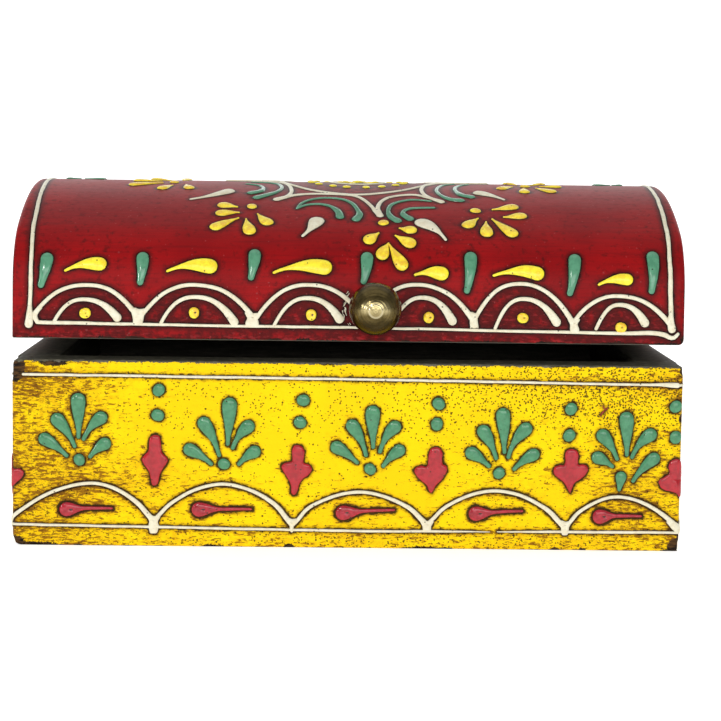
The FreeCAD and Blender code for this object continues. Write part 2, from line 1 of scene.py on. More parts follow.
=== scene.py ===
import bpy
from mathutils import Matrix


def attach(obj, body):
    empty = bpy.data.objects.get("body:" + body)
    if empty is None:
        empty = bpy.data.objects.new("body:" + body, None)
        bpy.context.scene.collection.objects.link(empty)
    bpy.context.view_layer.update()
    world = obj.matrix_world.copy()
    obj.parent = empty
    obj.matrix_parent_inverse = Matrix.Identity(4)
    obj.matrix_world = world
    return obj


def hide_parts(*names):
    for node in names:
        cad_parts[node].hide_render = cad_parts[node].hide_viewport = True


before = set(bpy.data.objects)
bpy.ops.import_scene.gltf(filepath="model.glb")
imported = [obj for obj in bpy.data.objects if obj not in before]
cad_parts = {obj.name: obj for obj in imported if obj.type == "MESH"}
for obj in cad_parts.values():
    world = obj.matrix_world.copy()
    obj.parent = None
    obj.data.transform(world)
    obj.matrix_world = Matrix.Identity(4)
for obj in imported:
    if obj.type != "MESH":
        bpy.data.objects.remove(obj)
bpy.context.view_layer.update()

import math

import bpy
import numpy as np
from mathutils import Matrix, Vector

# Sizes repeat the CAD sheet, in millimetres; meshes are written in metres.
MM = 0.001
HX, HY, ZB = 76.0, 51.0, 42.5
RC = 1.0
WALL = 10.0
GAP, SETBACK, AJAR = 0.1, 2.1, math.radians(2.53)
LID_H, SPRING, HAUNCH, SHELL = 37.1, 12.0, 16.0, 4.5
HINGE_Y, HINGE_Z = HY + SETBACK, ZB + GAP
LID_MID = -(HY + SETBACK)
LID_FRONT, LID_BACK = LID_MID - HY, LID_MID + HY
rng = np.random.default_rng(7)


# --------------------------------------------------------------------- noise
def _hash(i, j, k, seed):
    n = (i * 374761393 + j * 668265263 + k * 1103515245 + seed * 1274126177) & 0xFFFFFFFF
    n = ((n ^ (n >> 13)) * 1274126177) & 0xFFFFFFFF
    n = ((n ^ (n >> 15)) * 668265263) & 0xFFFFFFFF
    return ((n ^ (n >> 16)) & 0xFFFF) / 65535.0


def vnoise(p, size, seed=0):
    """Smooth value noise in 0..1 at points p (n, 3), with cells of this size."""
    q = np.asarray(p, float) / size
    f = np.floor(q).astype(np.int64)
    t = q - f
    t = t * t * (3 - 2 * t)
    out = np.zeros(len(q))
    for a in (0, 1):
        for b in (0, 1):
            for c in (0, 1):
                w = ((t[:, 0] if a else 1 - t[:, 0]) * (t[:, 1] if b else 1 - t[:, 1])
                     * (t[:, 2] if c else 1 - t[:, 2]))
                out += w * _hash(f[:, 0] + a, f[:, 1] + b, f[:, 2] + c, seed)
    return out


def fnoise(p, size, seed=0, octaves=3):
    total, amp, norm = 0.0, 1.0, 0.0
    for o in range(octaves):
        total = total + amp * vnoise(p, size / 2 ** o, seed + 31 * o)
        norm += amp
        amp *= 0.5
    return total / norm


def smooth(a, b, x):
    t = np.clip((x - a) / (b - a), 0, 1)
    return t * t * (3 - 2 * t)


# ------------------------------------------------------------ surface maps
SF, SS, QA = HX - RC, HY - RC, RC * math.pi / 2
U1 = SF
U2 = U1 + QA
U3 = U2 + 2 * SS
U4 = U3 + QA
PER = 2 * (U4 + SF)


def base_at(u, v, out):
    """Point `out` mm proud of the base's outside, u mm round it from the
    middle of the front, v mm up."""
    u = np.mod(np.asarray(u, float) + PER / 2, PER) - PER / 2
    s, a = np.where(u < 0, -1.0, 1.0), np.abs(u)
    x, y = s * a, np.full_like(a, -HY)
    nx, ny = np.zeros_like(a), np.full_like(a, -1.0)
    m = (a > U1) & (a <= U2)
    f = (a[m] - U1) / RC
    x[m], y[m] = s[m] * (SF + RC * np.sin(f)), -SS - RC * np.cos(f)
    nx[m], ny[m] = s[m] * np.sin(f), -np.cos(f)
    m = (a > U2) & (a <= U3)
    x[m], y[m], nx[m], ny[m] = s[m] * HX, -SS + (a[m] - U2), s[m], 0.0
    m = (a > U3) & (a <= U4)
    f = (a[m] - U3) / RC
    x[m], y[m] = s[m] * (SF + RC * np.cos(f)), SS + RC * np.sin(f)
    nx[m], ny[m] = s[m] * np.cos(f), np.sin(f)
    m = a > U4
    x[m], y[m], nx[m], ny[m] = s[m] * (SF - (a[m] - U4)), HY, 0.0, 1.0
    return np.stack([x + nx * out, y + ny * out, np.asarray(v, float)], -1)


def base_u(p):
    """The way round the base of points on its outside."""
    s = np.where(p[:, 0] < 0, -1.0, 1.0)
    ax, y = np.abs(p[:, 0]), p[:, 1]
    u = ax.copy()
    m = (ax > SF) & (y < -SS)
    u[m] = U1 + RC * np.arctan2(ax[m] - SF, -(y[m] + SS))
    m = (np.abs(y) <= SS) & (ax > SF - 4)
    u[m] = U2 + (y[m] + SS)
    m = (ax > SF) & (y > SS)
    u[m] = U3 + RC * np.arctan2(y[m] - SS, ax[m] - SF)
    m = (ax <= SF) & (y > SS)
    u[m] = U4 + (SF - ax[m])
    return s * u


RISE = LID_H - SPRING
CROWN = ((HY - HAUNCH) ** 2 + RISE ** 2 - HAUNCH ** 2) / (2 * (RISE - HAUNCH))
LEAN = math.atan2(CROWN - RISE, HY - HAUNCH)
S1 = SPRING
S2 = S1 + HAUNCH * LEAN
S3 = S2 + CROWN * (math.pi - 2 * LEAN)
S4 = S3 + HAUNCH * LEAN
S5 = S4 + SPRING
Z0 = GAP + SPRING
ZC = Z0 + RISE - CROWN


def lid_profile(s, inset=0.0):
    """Lid section at s mm along it from the front bottom edge, and its
    outward normal, drawn shut from the hinge axis."""
    s = np.asarray(s, float)
    y, z = np.zeros_like(s), np.zeros_like(s)
    ny, nz = np.zeros_like(s), np.zeros_like(s)
    m = s <= S1
    y[m], z[m], ny[m] = LID_FRONT, GAP + s[m], -1.0
    m = (s > S1) & (s <= S2)
    f = math.pi - (s[m] - S1) / HAUNCH
    y[m], z[m] = LID_FRONT + HAUNCH + HAUNCH * np.cos(f), Z0 + HAUNCH * np.sin(f)
    ny[m], nz[m] = np.cos(f), np.sin(f)
    m = (s > S2) & (s <= S3)
    f = math.pi - LEAN - (s[m] - S2) / CROWN
    y[m], z[m] = LID_MID + CROWN * np.cos(f), ZC + CROWN * np.sin(f)
    ny[m], nz[m] = np.cos(f), np.sin(f)
    m = (s > S3) & (s <= S4)
    f = LEAN - (s[m] - S3) / HAUNCH
    y[m], z[m] = LID_BACK - HAUNCH + HAUNCH * np.cos(f), Z0 + HAUNCH * np.sin(f)
    ny[m], nz[m] = np.cos(f), np.sin(f)
    m = s > S4
    y[m], z[m], ny[m] = LID_BACK, Z0 - (s[m] - S4), 1.0
    return y - ny * inset, z - nz * inset, ny, nz


def lid_pose(p):
    """From the shut lid, drawn from the hinge axis, to its place ajar."""
    c, s = math.cos(AJAR), math.sin(AJAR)
    return np.stack([p[:, 0], HINGE_Y + p[:, 1] * c + p[:, 2] * s,
                     HINGE_Z - p[:, 1] * s + p[:, 2] * c], -1)


def lid_at(x, s, out):
    y, z, ny, nz = lid_profile(s)
    return lid_pose(np.stack([np.asarray(x, float), y + ny * out, z + nz * out], -1))


def end_at(side):
    def at(a, b, out):
        a, b = np.asarray(a, float), np.asarray(b, float)
        return lid_pose(np.stack([side * (HX + out * np.ones_like(a)),
                                  LID_MID + side * a, GAP + b], -1))
    return at


# ------------------------------------------------------------ painted strokes
class Stroke:
    """A bead of thick paint: a line in surface millimetres and its half width."""

    def __init__(self, pts, rad, tall=None, step=0.45, wob=0.06, seed=None):
        pts, rad = np.asarray(pts, float), np.asarray(rad, float)
        if rad.ndim == 0:
            rad = np.full(len(pts), float(rad))
        if len(pts) > 2:
            pts, rad = _curve(pts, rad, step)
        else:
            n = max(3, int(np.linalg.norm(pts[1] - pts[0]) / step) + 1)
            t = np.linspace(0, 1, n)
            pts = pts[0] + (pts[1] - pts[0]) * t[:, None]
            rad = rad[0] + (rad[1] - rad[0]) * t
        key = np.stack([pts[:, 0], pts[:, 1], np.full(len(pts), 3.3)], -1)
        rad = rad * (1 + wob * 2 * (fnoise(key, 2.2, 5) - 0.5))
        jit = 0.16 * min(1.0, rad.mean() / 0.5)
        pts = pts + jit * np.stack([vnoise(key, 4.0, 11) - 0.5, vnoise(key, 4.0, 12) - 0.5], -1)
        self.p, self.r = pts, rad
        self.tall = tall
        self.pit = None
        self.halo = 0.0

    def mesh(self, at):
        p, r = self.p, self.r
        across = 8 if self.pit is None else 16
        d = np.gradient(p, axis=0)
        d /= np.linalg.norm(d, axis=1)[:, None] + 1e-9
        caps = np.radians([88, 68, 46, 23])
        head = [(p[0] - d[0] * r[0] * math.sin(c), d[0], r[0] * math.cos(c), math.cos(c) ** 0.8) for c in caps]
        tail = [(p[-1] + d[-1] * r[-1] * math.sin(c), d[-1], r[-1] * math.cos(c), math.cos(c) ** 0.8) for c in caps[::-1]]
        rows = head + [(p[i], d[i], r[i], 1.0) for i in range(len(p))] + tail
        c = np.array([q[0] for q in rows])
        t = np.array([q[1] for q in rows])
        w = np.array([q[2] for q in rows])
        k = np.array([q[3] for q in rows])
        rr = np.concatenate([[r[0]] * 4, r, [r[-1]] * 4])
        tall = self.tall if self.tall is not None else np.clip(0.18 + 0.30 * rr, 0.26, 0.66)
        nrm = np.stack([-t[:, 1], t[:, 0]], -1)
        ang = np.linspace(0, math.pi, across + 1)
        verts, rim = [], []
        for a in ang:
            e = c + nrm * (w * math.cos(a))[:, None]
            lift = tall * k * math.sin(a) ** 0.75
            foot = 1 - k * math.sin(a) ** 0.50
            if self.pit is not None:
                px, py, rx, ry = self.pit
                hole = 1 - smooth(0.45, 1.1, np.hypot((e[:, 0] - px) / rx, (e[:, 1] - py) / ry))
                lift, foot = lift * (1 - 0.5 * hole), np.maximum(foot, hole)
            verts.append(at(e[:, 0], e[:, 1], lift - 0.06))
            rim.append(foot)
        v = np.stack(verts, 1).reshape(-1, 3)
        rim = np.stack(rim, 1).reshape(-1)
        n, m = len(rows), across + 1
        i, j = np.meshgrid(np.arange(n - 1), np.arange(m - 1), indexing="ij")
        a = i * m + j
        q = np.stack([a, a + 1, a + m + 1, a + m], -1).reshape(-1, 4)
        return v, q, rim

    def distance(self, uv):
        """Distance outside the bead, negative inside, for points near it."""
        a, b = self.p[:-1], self.p[1:]
        ra, rb = self.r[:-1], self.r[1:]
        ab = b - a
        l2 = (ab ** 2).sum(1) + 1e-12
        best = np.full(len(uv), 1e9)
        for i in range(0, len(uv), 4000):
            q = uv[i:i + 4000]
            t = np.clip(((q[:, None] - a) * ab).sum(-1) / l2, 0, 1)
            c = a + t[..., None] * ab
            dd = np.sqrt(((q[:, None] - c) ** 2).sum(-1)) - (ra + (rb - ra) * t)
            best[i:i + 4000] = dd.min(1)
        return best


class Patch:
    """A filled bead of thick paint inside a closed outline, drawn anticlockwise."""

    def __init__(self, pts, tall=0.5, halo=0.06):
        pts = np.asarray(pts, float)
        ext = np.vstack([pts[-1:], pts, pts[:2]])
        t = np.linspace(0, 1, 6, endpoint=False)[:, None]
        rows = []
        for i in range(1, len(pts) + 1):
            a, b, c, d = ext[i - 1], ext[i], ext[i + 1], ext[i + 2]
            rows.append(0.5 * (2 * b + (c - a) * t + (2 * a - 5 * b + 4 * c - d) * t ** 2
                               + (3 * b - a - 3 * c + d) * t ** 3))
        q = np.vstack(rows)
        key = np.stack([q[:, 0], q[:, 1], np.full(len(q), 8.1)], -1)
        self.p = q + 0.12 * np.stack([vnoise(key, 0.9, 14) - 0.5, vnoise(key, 0.9, 15) - 0.5], -1)
        self.r = np.zeros(len(q))
        self.tall, self.halo = tall, halo

    def mesh(self, at):
        p, n = self.p, len(self.p)
        c = p.mean(0)
        verts, rim = [], []
        for k in (1.0, 0.96, 0.90, 0.82, 0.70, 0.55, 0.38, 0.2):
            e = c + (p - c) * k
            f = np.clip(-self.distance(e) / 0.7, 0, 1) if k < 1 else np.zeros(n)
            up = np.sqrt(1 - (1 - f) ** 2)
            verts.append(at(e[:, 0], e[:, 1], self.tall * up - 0.06))
            rim.append(1 - up)
        quads = []
        i = np.arange(n)
        j = (i + 1) % n
        for k in range(len(verts) - 1):
            quads.append(np.stack([i + k * n, j + k * n, j + (k + 1) * n, i + (k + 1) * n], -1))
        i = np.arange(n // 2 - 1)
        quads.append(np.stack([i, i + 1, n - 2 - i, n - 1 - i], -1) + (len(verts) - 1) * n)
        return np.vstack(verts), np.vstack(quads), np.concatenate(rim)

    def distance(self, uv):
        """Distance outside the outline, negative inside."""
        a, b = self.p, np.roll(self.p, -1, 0)
        ab = b - a
        l2 = (ab ** 2).sum(1) + 1e-12
        best = np.full(len(uv), 1e9)
        for i in range(0, len(uv), 4000):
            q = uv[i:i + 4000, None]
            t = np.clip(((q - a) * ab).sum(-1) / l2, 0, 1)
            d = np.sqrt(((q - a - t[..., None] * ab) ** 2).sum(-1)).min(1)
            over = (a[:, 1] > q[..., 1]) != (b[:, 1] > q[..., 1])
            rise = np.where(np.abs(ab[:, 1]) < 1e-9, 1e-9, ab[:, 1])
            hit = over & (q[..., 0] < a[:, 0] + ab[:, 0] * (q[..., 1] - a[:, 1]) / rise)
            best[i:i + 4000] = np.where(hit.sum(1) % 2 == 1, -d, d)
        return best


def _curve(pts, rad, step):
    """Catmull-Rom through the points, resampled evenly."""
    p = np.vstack([2 * pts[0] - pts[1], pts, 2 * pts[-1] - pts[-2]])
    r = np.concatenate([[rad[0]], rad, [rad[-1]]])
    fine_p, fine_r = [], []
    for i in range(1, len(p) - 2):
        t = np.linspace(0, 1, 14, endpoint=False)[:, None]
        a, b, c, d = p[i - 1], p[i], p[i + 1], p[i + 2]
        fine_p.append(0.5 * (2 * b + (c - a) * t + (2 * a - 5 * b + 4 * c - d) * t ** 2
                             + (3 * b - a - 3 * c + d) * t ** 3))
        fine_r.append(r[i] + (r[i + 1] - r[i]) * (t[:, 0] ** 2 * (3 - 2 * t[:, 0])))
    fine_p = np.vstack(fine_p + [p[-2:-1]])
    fine_r = np.concatenate(fine_r + [r[-2:-1]])
    cum = np.concatenate([[0], np.cumsum(np.linalg.norm(np.diff(fine_p, axis=0), axis=1))])
    n = max(4, int(cum[-1] / step) + 1)
    at = np.linspace(0, cum[-1], n)
    return (np.stack([np.interp(at, cum, fine_p[:, 0]), np.interp(at, cum, fine_p[:, 1])], -1),
            np.interp(at, cum, fine_r))


def dot(c, r, tall=None):
    c = np.asarray(c, float)
    a = rng.uniform(0, math.pi)
    e = 0.12 * r * np.array([math.cos(a), math.sin(a)])
    return Stroke([c - e, c + e], [r * 0.97, r], tall, step=0.1, wob=0.03)


def drop(head, tail, r0, r1=0.4, bend=0.0, tall=None, neck=(0.08, 0.78), end=0.5):
    """A paint drop pulled out from its head to a thin tail."""
    h, t = np.asarray(head, float), np.asarray(tail, float)
    d = t - h
    n = np.array([-d[1], d[0]])
    k = np.linspace(0, 1, 16)
    pts = h + d * k[:, None] + n * (bend * 4 * k * (1 - k))[:, None]
    body = 1 - smooth(neck[0], neck[1], k)
    rad = r1 * (1 - (1 - end) * k) + (r0 - r1) * body
    s = Stroke(pts, rad, None, step=0.35, wob=0.05)
    if tall is not None:
        s.tall = tall
    return s


def arc(start, peak, end, r, n=2.2, dip=(0.0, 0.0)):
    """A scallop: up from the start, over the peak, down to the end, its feet
    bent down by the dips."""
    (x0, y0), (xp, yp), (x1, y1) = start, peak, end
    t = np.linspace(0, 1, 25)
    tp = (xp - x0) / (x1 - x0)
    w = np.where(t < tp, 0.5 * t / tp, 0.5 + 0.5 * (t - tp) / (1 - tp))
    lift = 1 - np.abs(2 * w - 1) ** n
    base = np.where(t < tp, y0, y1)
    y = base + (yp - base) * lift - np.where(t < tp, dip[0], dip[1]) * smooth(0.76, 1.0, np.abs(2 * w - 1))
    x = x0 + (x1 - x0) * t
    r = np.asarray(r, float)
    rad = np.interp(t, np.linspace(0, 1, len(r)), r) if r.ndim else np.full(25, float(r))
    return Stroke(np.stack([x, y], -1), rad, step=0.45, wob=0.08)


def line(pts, r, step=0.6):
    return Stroke(pts, r, step=step, wob=0.18)


# ------------------------------------------------------- ornament: base band
cream_b, green_b, pink_b, red_b = [], [], [], []


def palmette(p, r=1.62):
    """Five drops fanned up from a dot: top, upper left, upper right, lower
    left and lower right, each head then tail."""
    top, lu, ru, ll, rl = p[0:2], p[2:4], p[4:6], p[6:8], p[8:10]
    green_b.append(drop(top[0], top[1], r * 1.04, 0.66, neck=(0.05, 0.95), end=0.7))
    green_b.append(drop(lu[0], lu[1], r * 0.97, 0.66, 0.045, neck=(0.0, 0.80), end=0.72))
    green_b.append(drop(ru[0], ru[1], r * 0.95, 0.66, -0.075, neck=(0.0, 0.72), end=0.72))
    green_b.append(drop(ll[0], ll[1], r * 0.94, 0.66, 0.03, neck=(0.0, 0.85), end=0.72))
    green_b.append(drop(rl[0], rl[1], r * 0.90, 0.66, -0.05, neck=(0.0, 0.85), end=0.72))


# Spades on the front, each outline from its top down its left side and up its right.
FLEURS = [
    [(-43.6, 25.7), (-44.7, 25.2), (-45.0, 24.1), (-45.0, 22.8), (-45.3, 21.7), (-46.1, 21.0), (-46.7, 20.0), (-46.1, 18.7),
     (-45.1, 17.3), (-44.6, 15.7), (-44.3, 14.3), (-43.7, 13.9), (-42.9, 14.5), (-42.6, 15.9), (-42.1, 17.3),
     (-41.2, 18.7), (-40.6, 19.9), (-41.2, 20.7), (-42.0, 21.6), (-42.2, 22.8), (-42.3, 24.1), (-42.6, 25.3)],
    [(-11.2, 23.7), (-12.3, 23.3), (-12.7, 22.1), (-12.5, 20.8), (-12.6, 19.9), (-13.7, 19.7), (-14.8, 19.1), (-15.0, 18.4),
     (-14.3, 17.1), (-13.3, 15.6), (-12.8, 14.1), (-12.7, 12.6), (-12.1, 12.1), (-11.5, 12.5), (-11.1, 13.4),
     (-10.7, 14.8), (-9.9, 15.9), (-8.6, 16.9), (-8.0, 18.0), (-8.3, 19.0), (-9.1, 19.4), (-9.9, 19.7),
     (-9.8, 21.0), (-9.7, 22.1), (-10.2, 23.3)],
    [(20.1, 23.6), (18.9, 23.1), (18.4, 21.8), (18.3, 20.5), (18.2, 19.4), (17.7, 19.0), (16.9, 19.3), (15.7, 18.9),
     (15.2, 18.0), (15.7, 16.9), (16.8, 15.7), (18.0, 14.7), (18.5, 13.6), (19.1, 12.9), (19.7, 13.6), (20.2, 14.6),
     (21.3, 15.7), (22.2, 16.9), (22.8, 18.3), (22.5, 19.2), (21.7, 19.7), (21.6, 20.9), (21.7, 22.0), (21.1, 23.2)],
    [(51.0, 23.5), (49.8, 23.1), (49.4, 21.9), (49.5, 20.6), (49.1, 19.7), (48.3, 19.7), (47.2, 19.3), (46.9, 18.4),
     (47.2, 17.3), (48.4, 16.4), (49.5, 15.4), (50.2, 14.1), (50.8, 13.2), (51.2, 14.1), (51.8, 15.5), (53.3, 16.6),
     (54.5, 17.8), (54.8, 18.9), (54.4, 19.7), (53.5, 19.9), (52.7, 19.8), (52.5, 20.8), (52.6, 21.9), (52.1, 23.1)]]


def fleur(x, top, low, kind, tall=0.5):
    """One of the front's spades again, set at x between these heights."""
    q = np.array(FLEURS[kind])
    h = q[:, 1]
    k = (top - low) / (h.max() - h.min())
    q = np.stack([x + (q[:, 0] - q[:, 0].mean()) * k, low + (h - h.min()) * k], -1)
    pink_b.append(Patch(q + rng.normal(0, 0.06, q.shape), tall))


def web(at, foot, drip, high=3.3, left=2.0, right=2.0):
    """Paint run together where two scallops meet on the line."""
    x, z = at
    f = max(foot, 0.3)
    q = [(0.15, high), (-0.6, high + 0.25), (-left, high + 0.25), (-left - 0.05, high - 0.2), (-0.72 * left, high - 1.2),
         (-f - 0.08, 0.7), (-f, -0.1), (-f * 0.72, -drip - 0.25), (0.0, -drip - 0.4), (f * 0.72, -drip - 0.25),
         (f, -0.1), (f + 0.08, 0.6), (0.68 * right, high - 1.2), (right + 0.05, high - 0.25), (right - 0.1, high + 0.1),
         (0.55 * right, high + 0.1)]
    return Patch([(x + a, z + b) for a, b in q], 0.40, 0.10)


# Front, as seen.
FRONT_SCALLOPS = [
    ((-76.1, 6.4), (-57.9, 14.4), (-44.3, 6.9)), ((-43.5, 7.0), (-28.2, 14.5), (-12.7, 6.9)),
    ((-12.1, 6.8), (2.7, 13.0), (18.0, 6.8)), ((18.7, 6.9), (33.9, 13.6), (49.4, 6.5)),
    ((50.2, 6.5), (61.8, 12.5), (75.5, 5.7))]
# where two scallops run together: place, half width of the foot, how far it drips, height of the notch
STEMS = [((-43.9, 4.3), 1.12, 1.0, 2.7), ((-12.5, 4.1), 0.40, 0.2, 2.6), ((18.3, 4.3), 0.95, 0.1, 2.2), ((49.8, 4.5), 0.85, 0.6, 2.2)]
DIPS = [(0.0, 0.6), (0.6, 1.3), (1.3, 0.9), (0.9, 0.9), (0.9, 0.0)]
PALMETTES = [
    [(-61.0, 33.3), (-60.9, 25.0), (-65.7, 28.8), (-61.8, 22.9), (-55.9, 29.3), (-59.7, 24.6),
     (-68.6, 24.4), (-63.6, 20.7), (-55.0, 23.4), (-58.3, 20.5), (-60.8, 19.7)],
    [(-26.8, 32.6), (-27.1, 23.7), (-32.5, 28.3), (-29.1, 21.1), (-22.6, 27.7), (-26.0, 22.8),
     (-35.7, 22.4), (-30.9, 19.1), (-21.1, 22.0), (-24.6, 19.1), (-28.0, 19.1)],
    [(5.6, 31.2), (5.8, 23.4), (1.1, 28.2), (4.2, 21.5), (10.7, 28.0), (7.4, 22.4),
     (-2.4, 23.2), (2.2, 19.8), (11.7, 22.6), (8.2, 19.1), (5.2, 18.3)],
    [(35.2, 31.0), (35.7, 22.5), (30.8, 27.2), (33.8, 21.1), (40.4, 27.9), (36.6, 21.4),
     (28.2, 22.2), (32.2, 19.3), (42.3, 22.0), (38.0, 18.7), (34.5, 17.7)],
    [(63.3, 30.4), (63.5, 22.2), (58.0, 26.5), (61.3, 21.2), (68.7, 26.9), (64.7, 21.7),
     (57.0, 21.4), (60.2, 19.5), (69.7, 21.4), (65.1, 16.3), (62.3, 17.1)]]
DOT_PAIRS = [(-42.8, 35.8), (-43.0, 30.1), (-10.2, 33.9), (-10.8, 28.8), (20.6, 33.4),
             (20.2, 28.8), (50.6, 32.6), (50.3, 26.5), (74.4, 33.3), (74.5, 26.3)]
RED_DROPS = [((-63.6, 8.3), (-53.4, 8.7)), ((-33.6, 8.6), (-21.8, 8.8)), ((-0.9, 8.2), (10.7, 8.9)),
             ((29.4, 8.3), (40.0, 9.0)), ((57.7, 7.9), (67.1, 8.1))]
scallops_all, stems = list(FRONT_SCALLOPS), list(STEMS)
for k, p in enumerate(PALMETTES):
    palmette(p)
    if k < 4:
        green_b.append(dot(p[10], 1.28))
    else:
        green_b.append(drop(p[10], (62.0, 14.2), 1.3, 0.85, neck=(0.0, 1.0)))
for c in DOT_PAIRS:
    green_b.append(dot(c, 1.36))
for f in FLEURS:
    pink_b.append(Patch(f))
# two more turn the front corners
pink_b.append(Patch([(74.8, 21.4), (73.6, 20.9), (73.0, 19.7), (73.3, 18.2), (72.3, 17.3), (71.2, 16.6), (70.9, 15.8), (71.4, 14.8),
                     (72.4, 14.1), (73.9, 13.8), (75.1, 13.3), (76.0, 12.4), (76.9, 13.2), (77.6, 14.4), (78.6, 15.4),
                     (79.3, 16.6), (78.9, 17.4), (77.8, 17.8), (76.9, 18.4), (76.6, 19.8), (76.0, 21.0)], 0.34))
pink_b.append(Patch([(-77.4, 21.0), (-78.6, 20.6), (-79.0, 19.4), (-79.0, 18.2), (-79.9, 17.6), (-81.0, 17.0), (-81.4, 16.2), (-80.8, 15.0),
                     (-79.4, 13.8), (-78.6, 12.6), (-77.9, 11.2), (-77.2, 11.6), (-76.7, 12.7), (-75.9, 13.5), (-74.9, 14.4),
                     (-73.8, 15.4), (-73.3, 16.4), (-73.4, 17.0), (-74.2, 17.6), (-75.2, 17.5), (-76.1, 17.7), (-76.3, 19.2), (-76.6, 20.4)], 0.34))
red_drops = list(RED_DROPS)

# The same band carried round the ends and the back.
TEMPLATE = np.array(PALMETTES[1]) - np.array([-28.0, 18.9])


def band(u0, u1, count, last_corner):
    step = (u1 - u0) / count
    for i in range(count):
        c = u0 + (i + 0.5) * step + rng.normal(0, 0.5)
        base_z = 18.4 + rng.normal(0, 0.5)
        size = 1.0 + rng.normal(0, 0.03)
        p = TEMPLATE * size + rng.normal(0, 0.35, TEMPLATE.shape) + np.array([c, base_z])
        palmette([tuple(q) for q in p])
        green_b.append(dot(p[10], 1.3))
        a, b = u0 + i * step, u0 + (i + 1) * step
        pk = 13.4 + rng.normal(0, 0.6)
        scallops_all.append(((a + 0.4, 6.7), (a + step * 0.47, pk), (b - 0.4, 6.7)))
        stems.append(((b, 4.3), 0.4 + 0.65 * rng.random(), 0.9 * rng.random(), 2.2))
        h = a + step * 0.36 + rng.normal(0, 0.6)
        red_drops.append(((h, 8.2 + rng.normal(0, 0.2)), (h + 11.0 + rng.normal(0, 0.6), 8.5)))
        if i < count - 1 or last_corner:
            x = b + rng.normal(0, 0.4)
            green_b.append(dot((x, 33.4 + rng.normal(0, 0.5)), 1.38))
            green_b.append(dot((x - 0.2, 27.9 + rng.normal(0, 0.5)), 1.38))
            fleur(x + 0.3, 23.4 + rng.normal(0, 0.4), 12.4 + rng.normal(0, 0.3), int(rng.integers(4)))


band(75.6, 178.0, 3, True)
band(178.0, PER - 178.6, 5, True)
band(-178.6, -77.2, 3, False)
for k, (a, b, c) in enumerate(scallops_all):
    s = arc(a, b, c, [0.45, 0.38, 0.38, 0.38, 0.39, 0.46, 0.62], 1.9, DIPS[k] if k < 5 else (0.9, 0.9))
    s.halo = 0.17
    cream_b.append(s)
for at_, foot, drip, notch in stems:
    wide = 1.5 if foot > 0.6 else 1.2
    cream_b.append(web(at_, foot, drip, notch, wide, wide))
cream_b.append(Stroke([(73.6, 6.9), (74.9, 5.9), (75.9, 5.1)], [0.6, 0.95, 1.05], 0.4, step=0.3))
for h, t in red_drops:
    d = drop(h, t, 1.70, 0.52, 0.010, neck=(0.0, 0.40), end=0.52)
    d.pit = (h[0] + 0.95, h[1] + 0.05, 0.75, 0.42)
    d.halo = 0.24
    red_b.append(d)
for pts in ([(57.7, 31.8), (58.3, 32.3), (58.9, 32.9)], [(58.4, 32.5), (58.0, 33.0), (57.8, 33.3)], [(57.3, 31.2), (57.6, 31.6), (57.8, 31.8)]):
    red_b.append(Stroke(pts, 0.10, 0.13, step=0.2, wob=0.2))
us = np.linspace(-73.4, PER - 77.5, 240)
cream_b.append(line(np.stack([us, np.interp(us, [-74, 2, 75.3, 78, PER - 77], [39.1, 38.8, 38.2, 38.5, 39.0])], -1), 0.30))
us = np.linspace(-76.2, 32.6, 60)
cream_b.append(line(np.stack([us, np.interp(us, [-76, 2, 33], [4.8, 4.0, 4.15])], -1),
                    np.interp(us, [-76, 22, 26, 33], [0.31, 0.30, 0.20, 0.12])))
us = np.linspace(34.4, PER - 77.0, 200)
cream_b.append(line(np.stack([us, np.interp(us, [34, 75.3, 78, PER - 77], [4.2, 4.4, 4.3, 4.8])], -1),
                    np.interp(us, [34, 38, 46, 60], [0.12, 0.20, 0.29, 0.32])))
cream_b.append(drop((74.6, 38.2), (66.5, 38.4), 0.62, 0.34, neck=(0.0, 0.9)))

# ------------------------------------------------------------- ornament: lid
cream_l, green_l, yellow_l, gold_l = [], [], [], []
CX, CS, RING = 2.2, 68.3, 19.0

OUTER = [((-71.0, 5.4), (-59.1, 12.1), (-47.8, 5.2)), ((-46.5, 5.7), (-34.8, 12.4), (-21.4, 4.9)),
         ((-20.8, 5.2), (-9.0, 12.7), (3.6, 4.8)), ((4.4, 5.2), (15.2, 13.0), (27.9, 5.2)),
         ((28.5, 5.7), (38.2, 13.5), (50.7, 4.6)), ((50.9, 5.2), (60.6, 11.0), (72.7, 4.6))]
INNER = [((-66.5, 3.8), (-59.7, 8.8), (-52.3, 4.9)), ((-42.4, 3.7), (-34.8, 9.7), (-25.9, 4.2)),
         ((-16.9, 3.6), (-9.6, 9.7), (-2.2, 5.1)), ((9.4, 3.7), (16.6, 10.1), (23.3, 4.9)),
         ((33.0, 3.5), (39.3, 10.1), (46.9, 4.9)), ((55.8, 3.6), (61.2, 9.0), (66.9, 5.0))]
LID_DOTS = [(-59.5, 5.7), (-35.0, 6.1), (-8.6, 5.9), (18.0, 5.6), (39.3, 5.8), (61.5, 3.9)]
GREEN_DROPS = [((-68.2, 18.0), (-69.4, 12.0)), ((-46.7, 18.5), (-47.2, 12.9)), ((-21.5, 19.6), (-22.2, 14.3)),
               ((3.9, 19.2), (3.2, 13.7)), ((27.3, 19.5), (26.5, 11.8)), ((50.9, 19.3), (49.8, 11.6)),
               ((68.6, 20.3), (68.3, 12.3))]
SIDE_DROPS = [((-56.3, 16.9), (-64.0, 15.4), 1.62), ((-31.5, 16.7), (-41.0, 15.5), 1.72), ((-5.7, 16.8), (-17.0, 15.4), 1.78),
              ((20.7, 15.6), (14.8, 15.3), 1.62), ((42.4, 15.9), (32.5, 15.4), 1.62), ((62.7, 14.8), (56.4, 13.6), 1.35)]
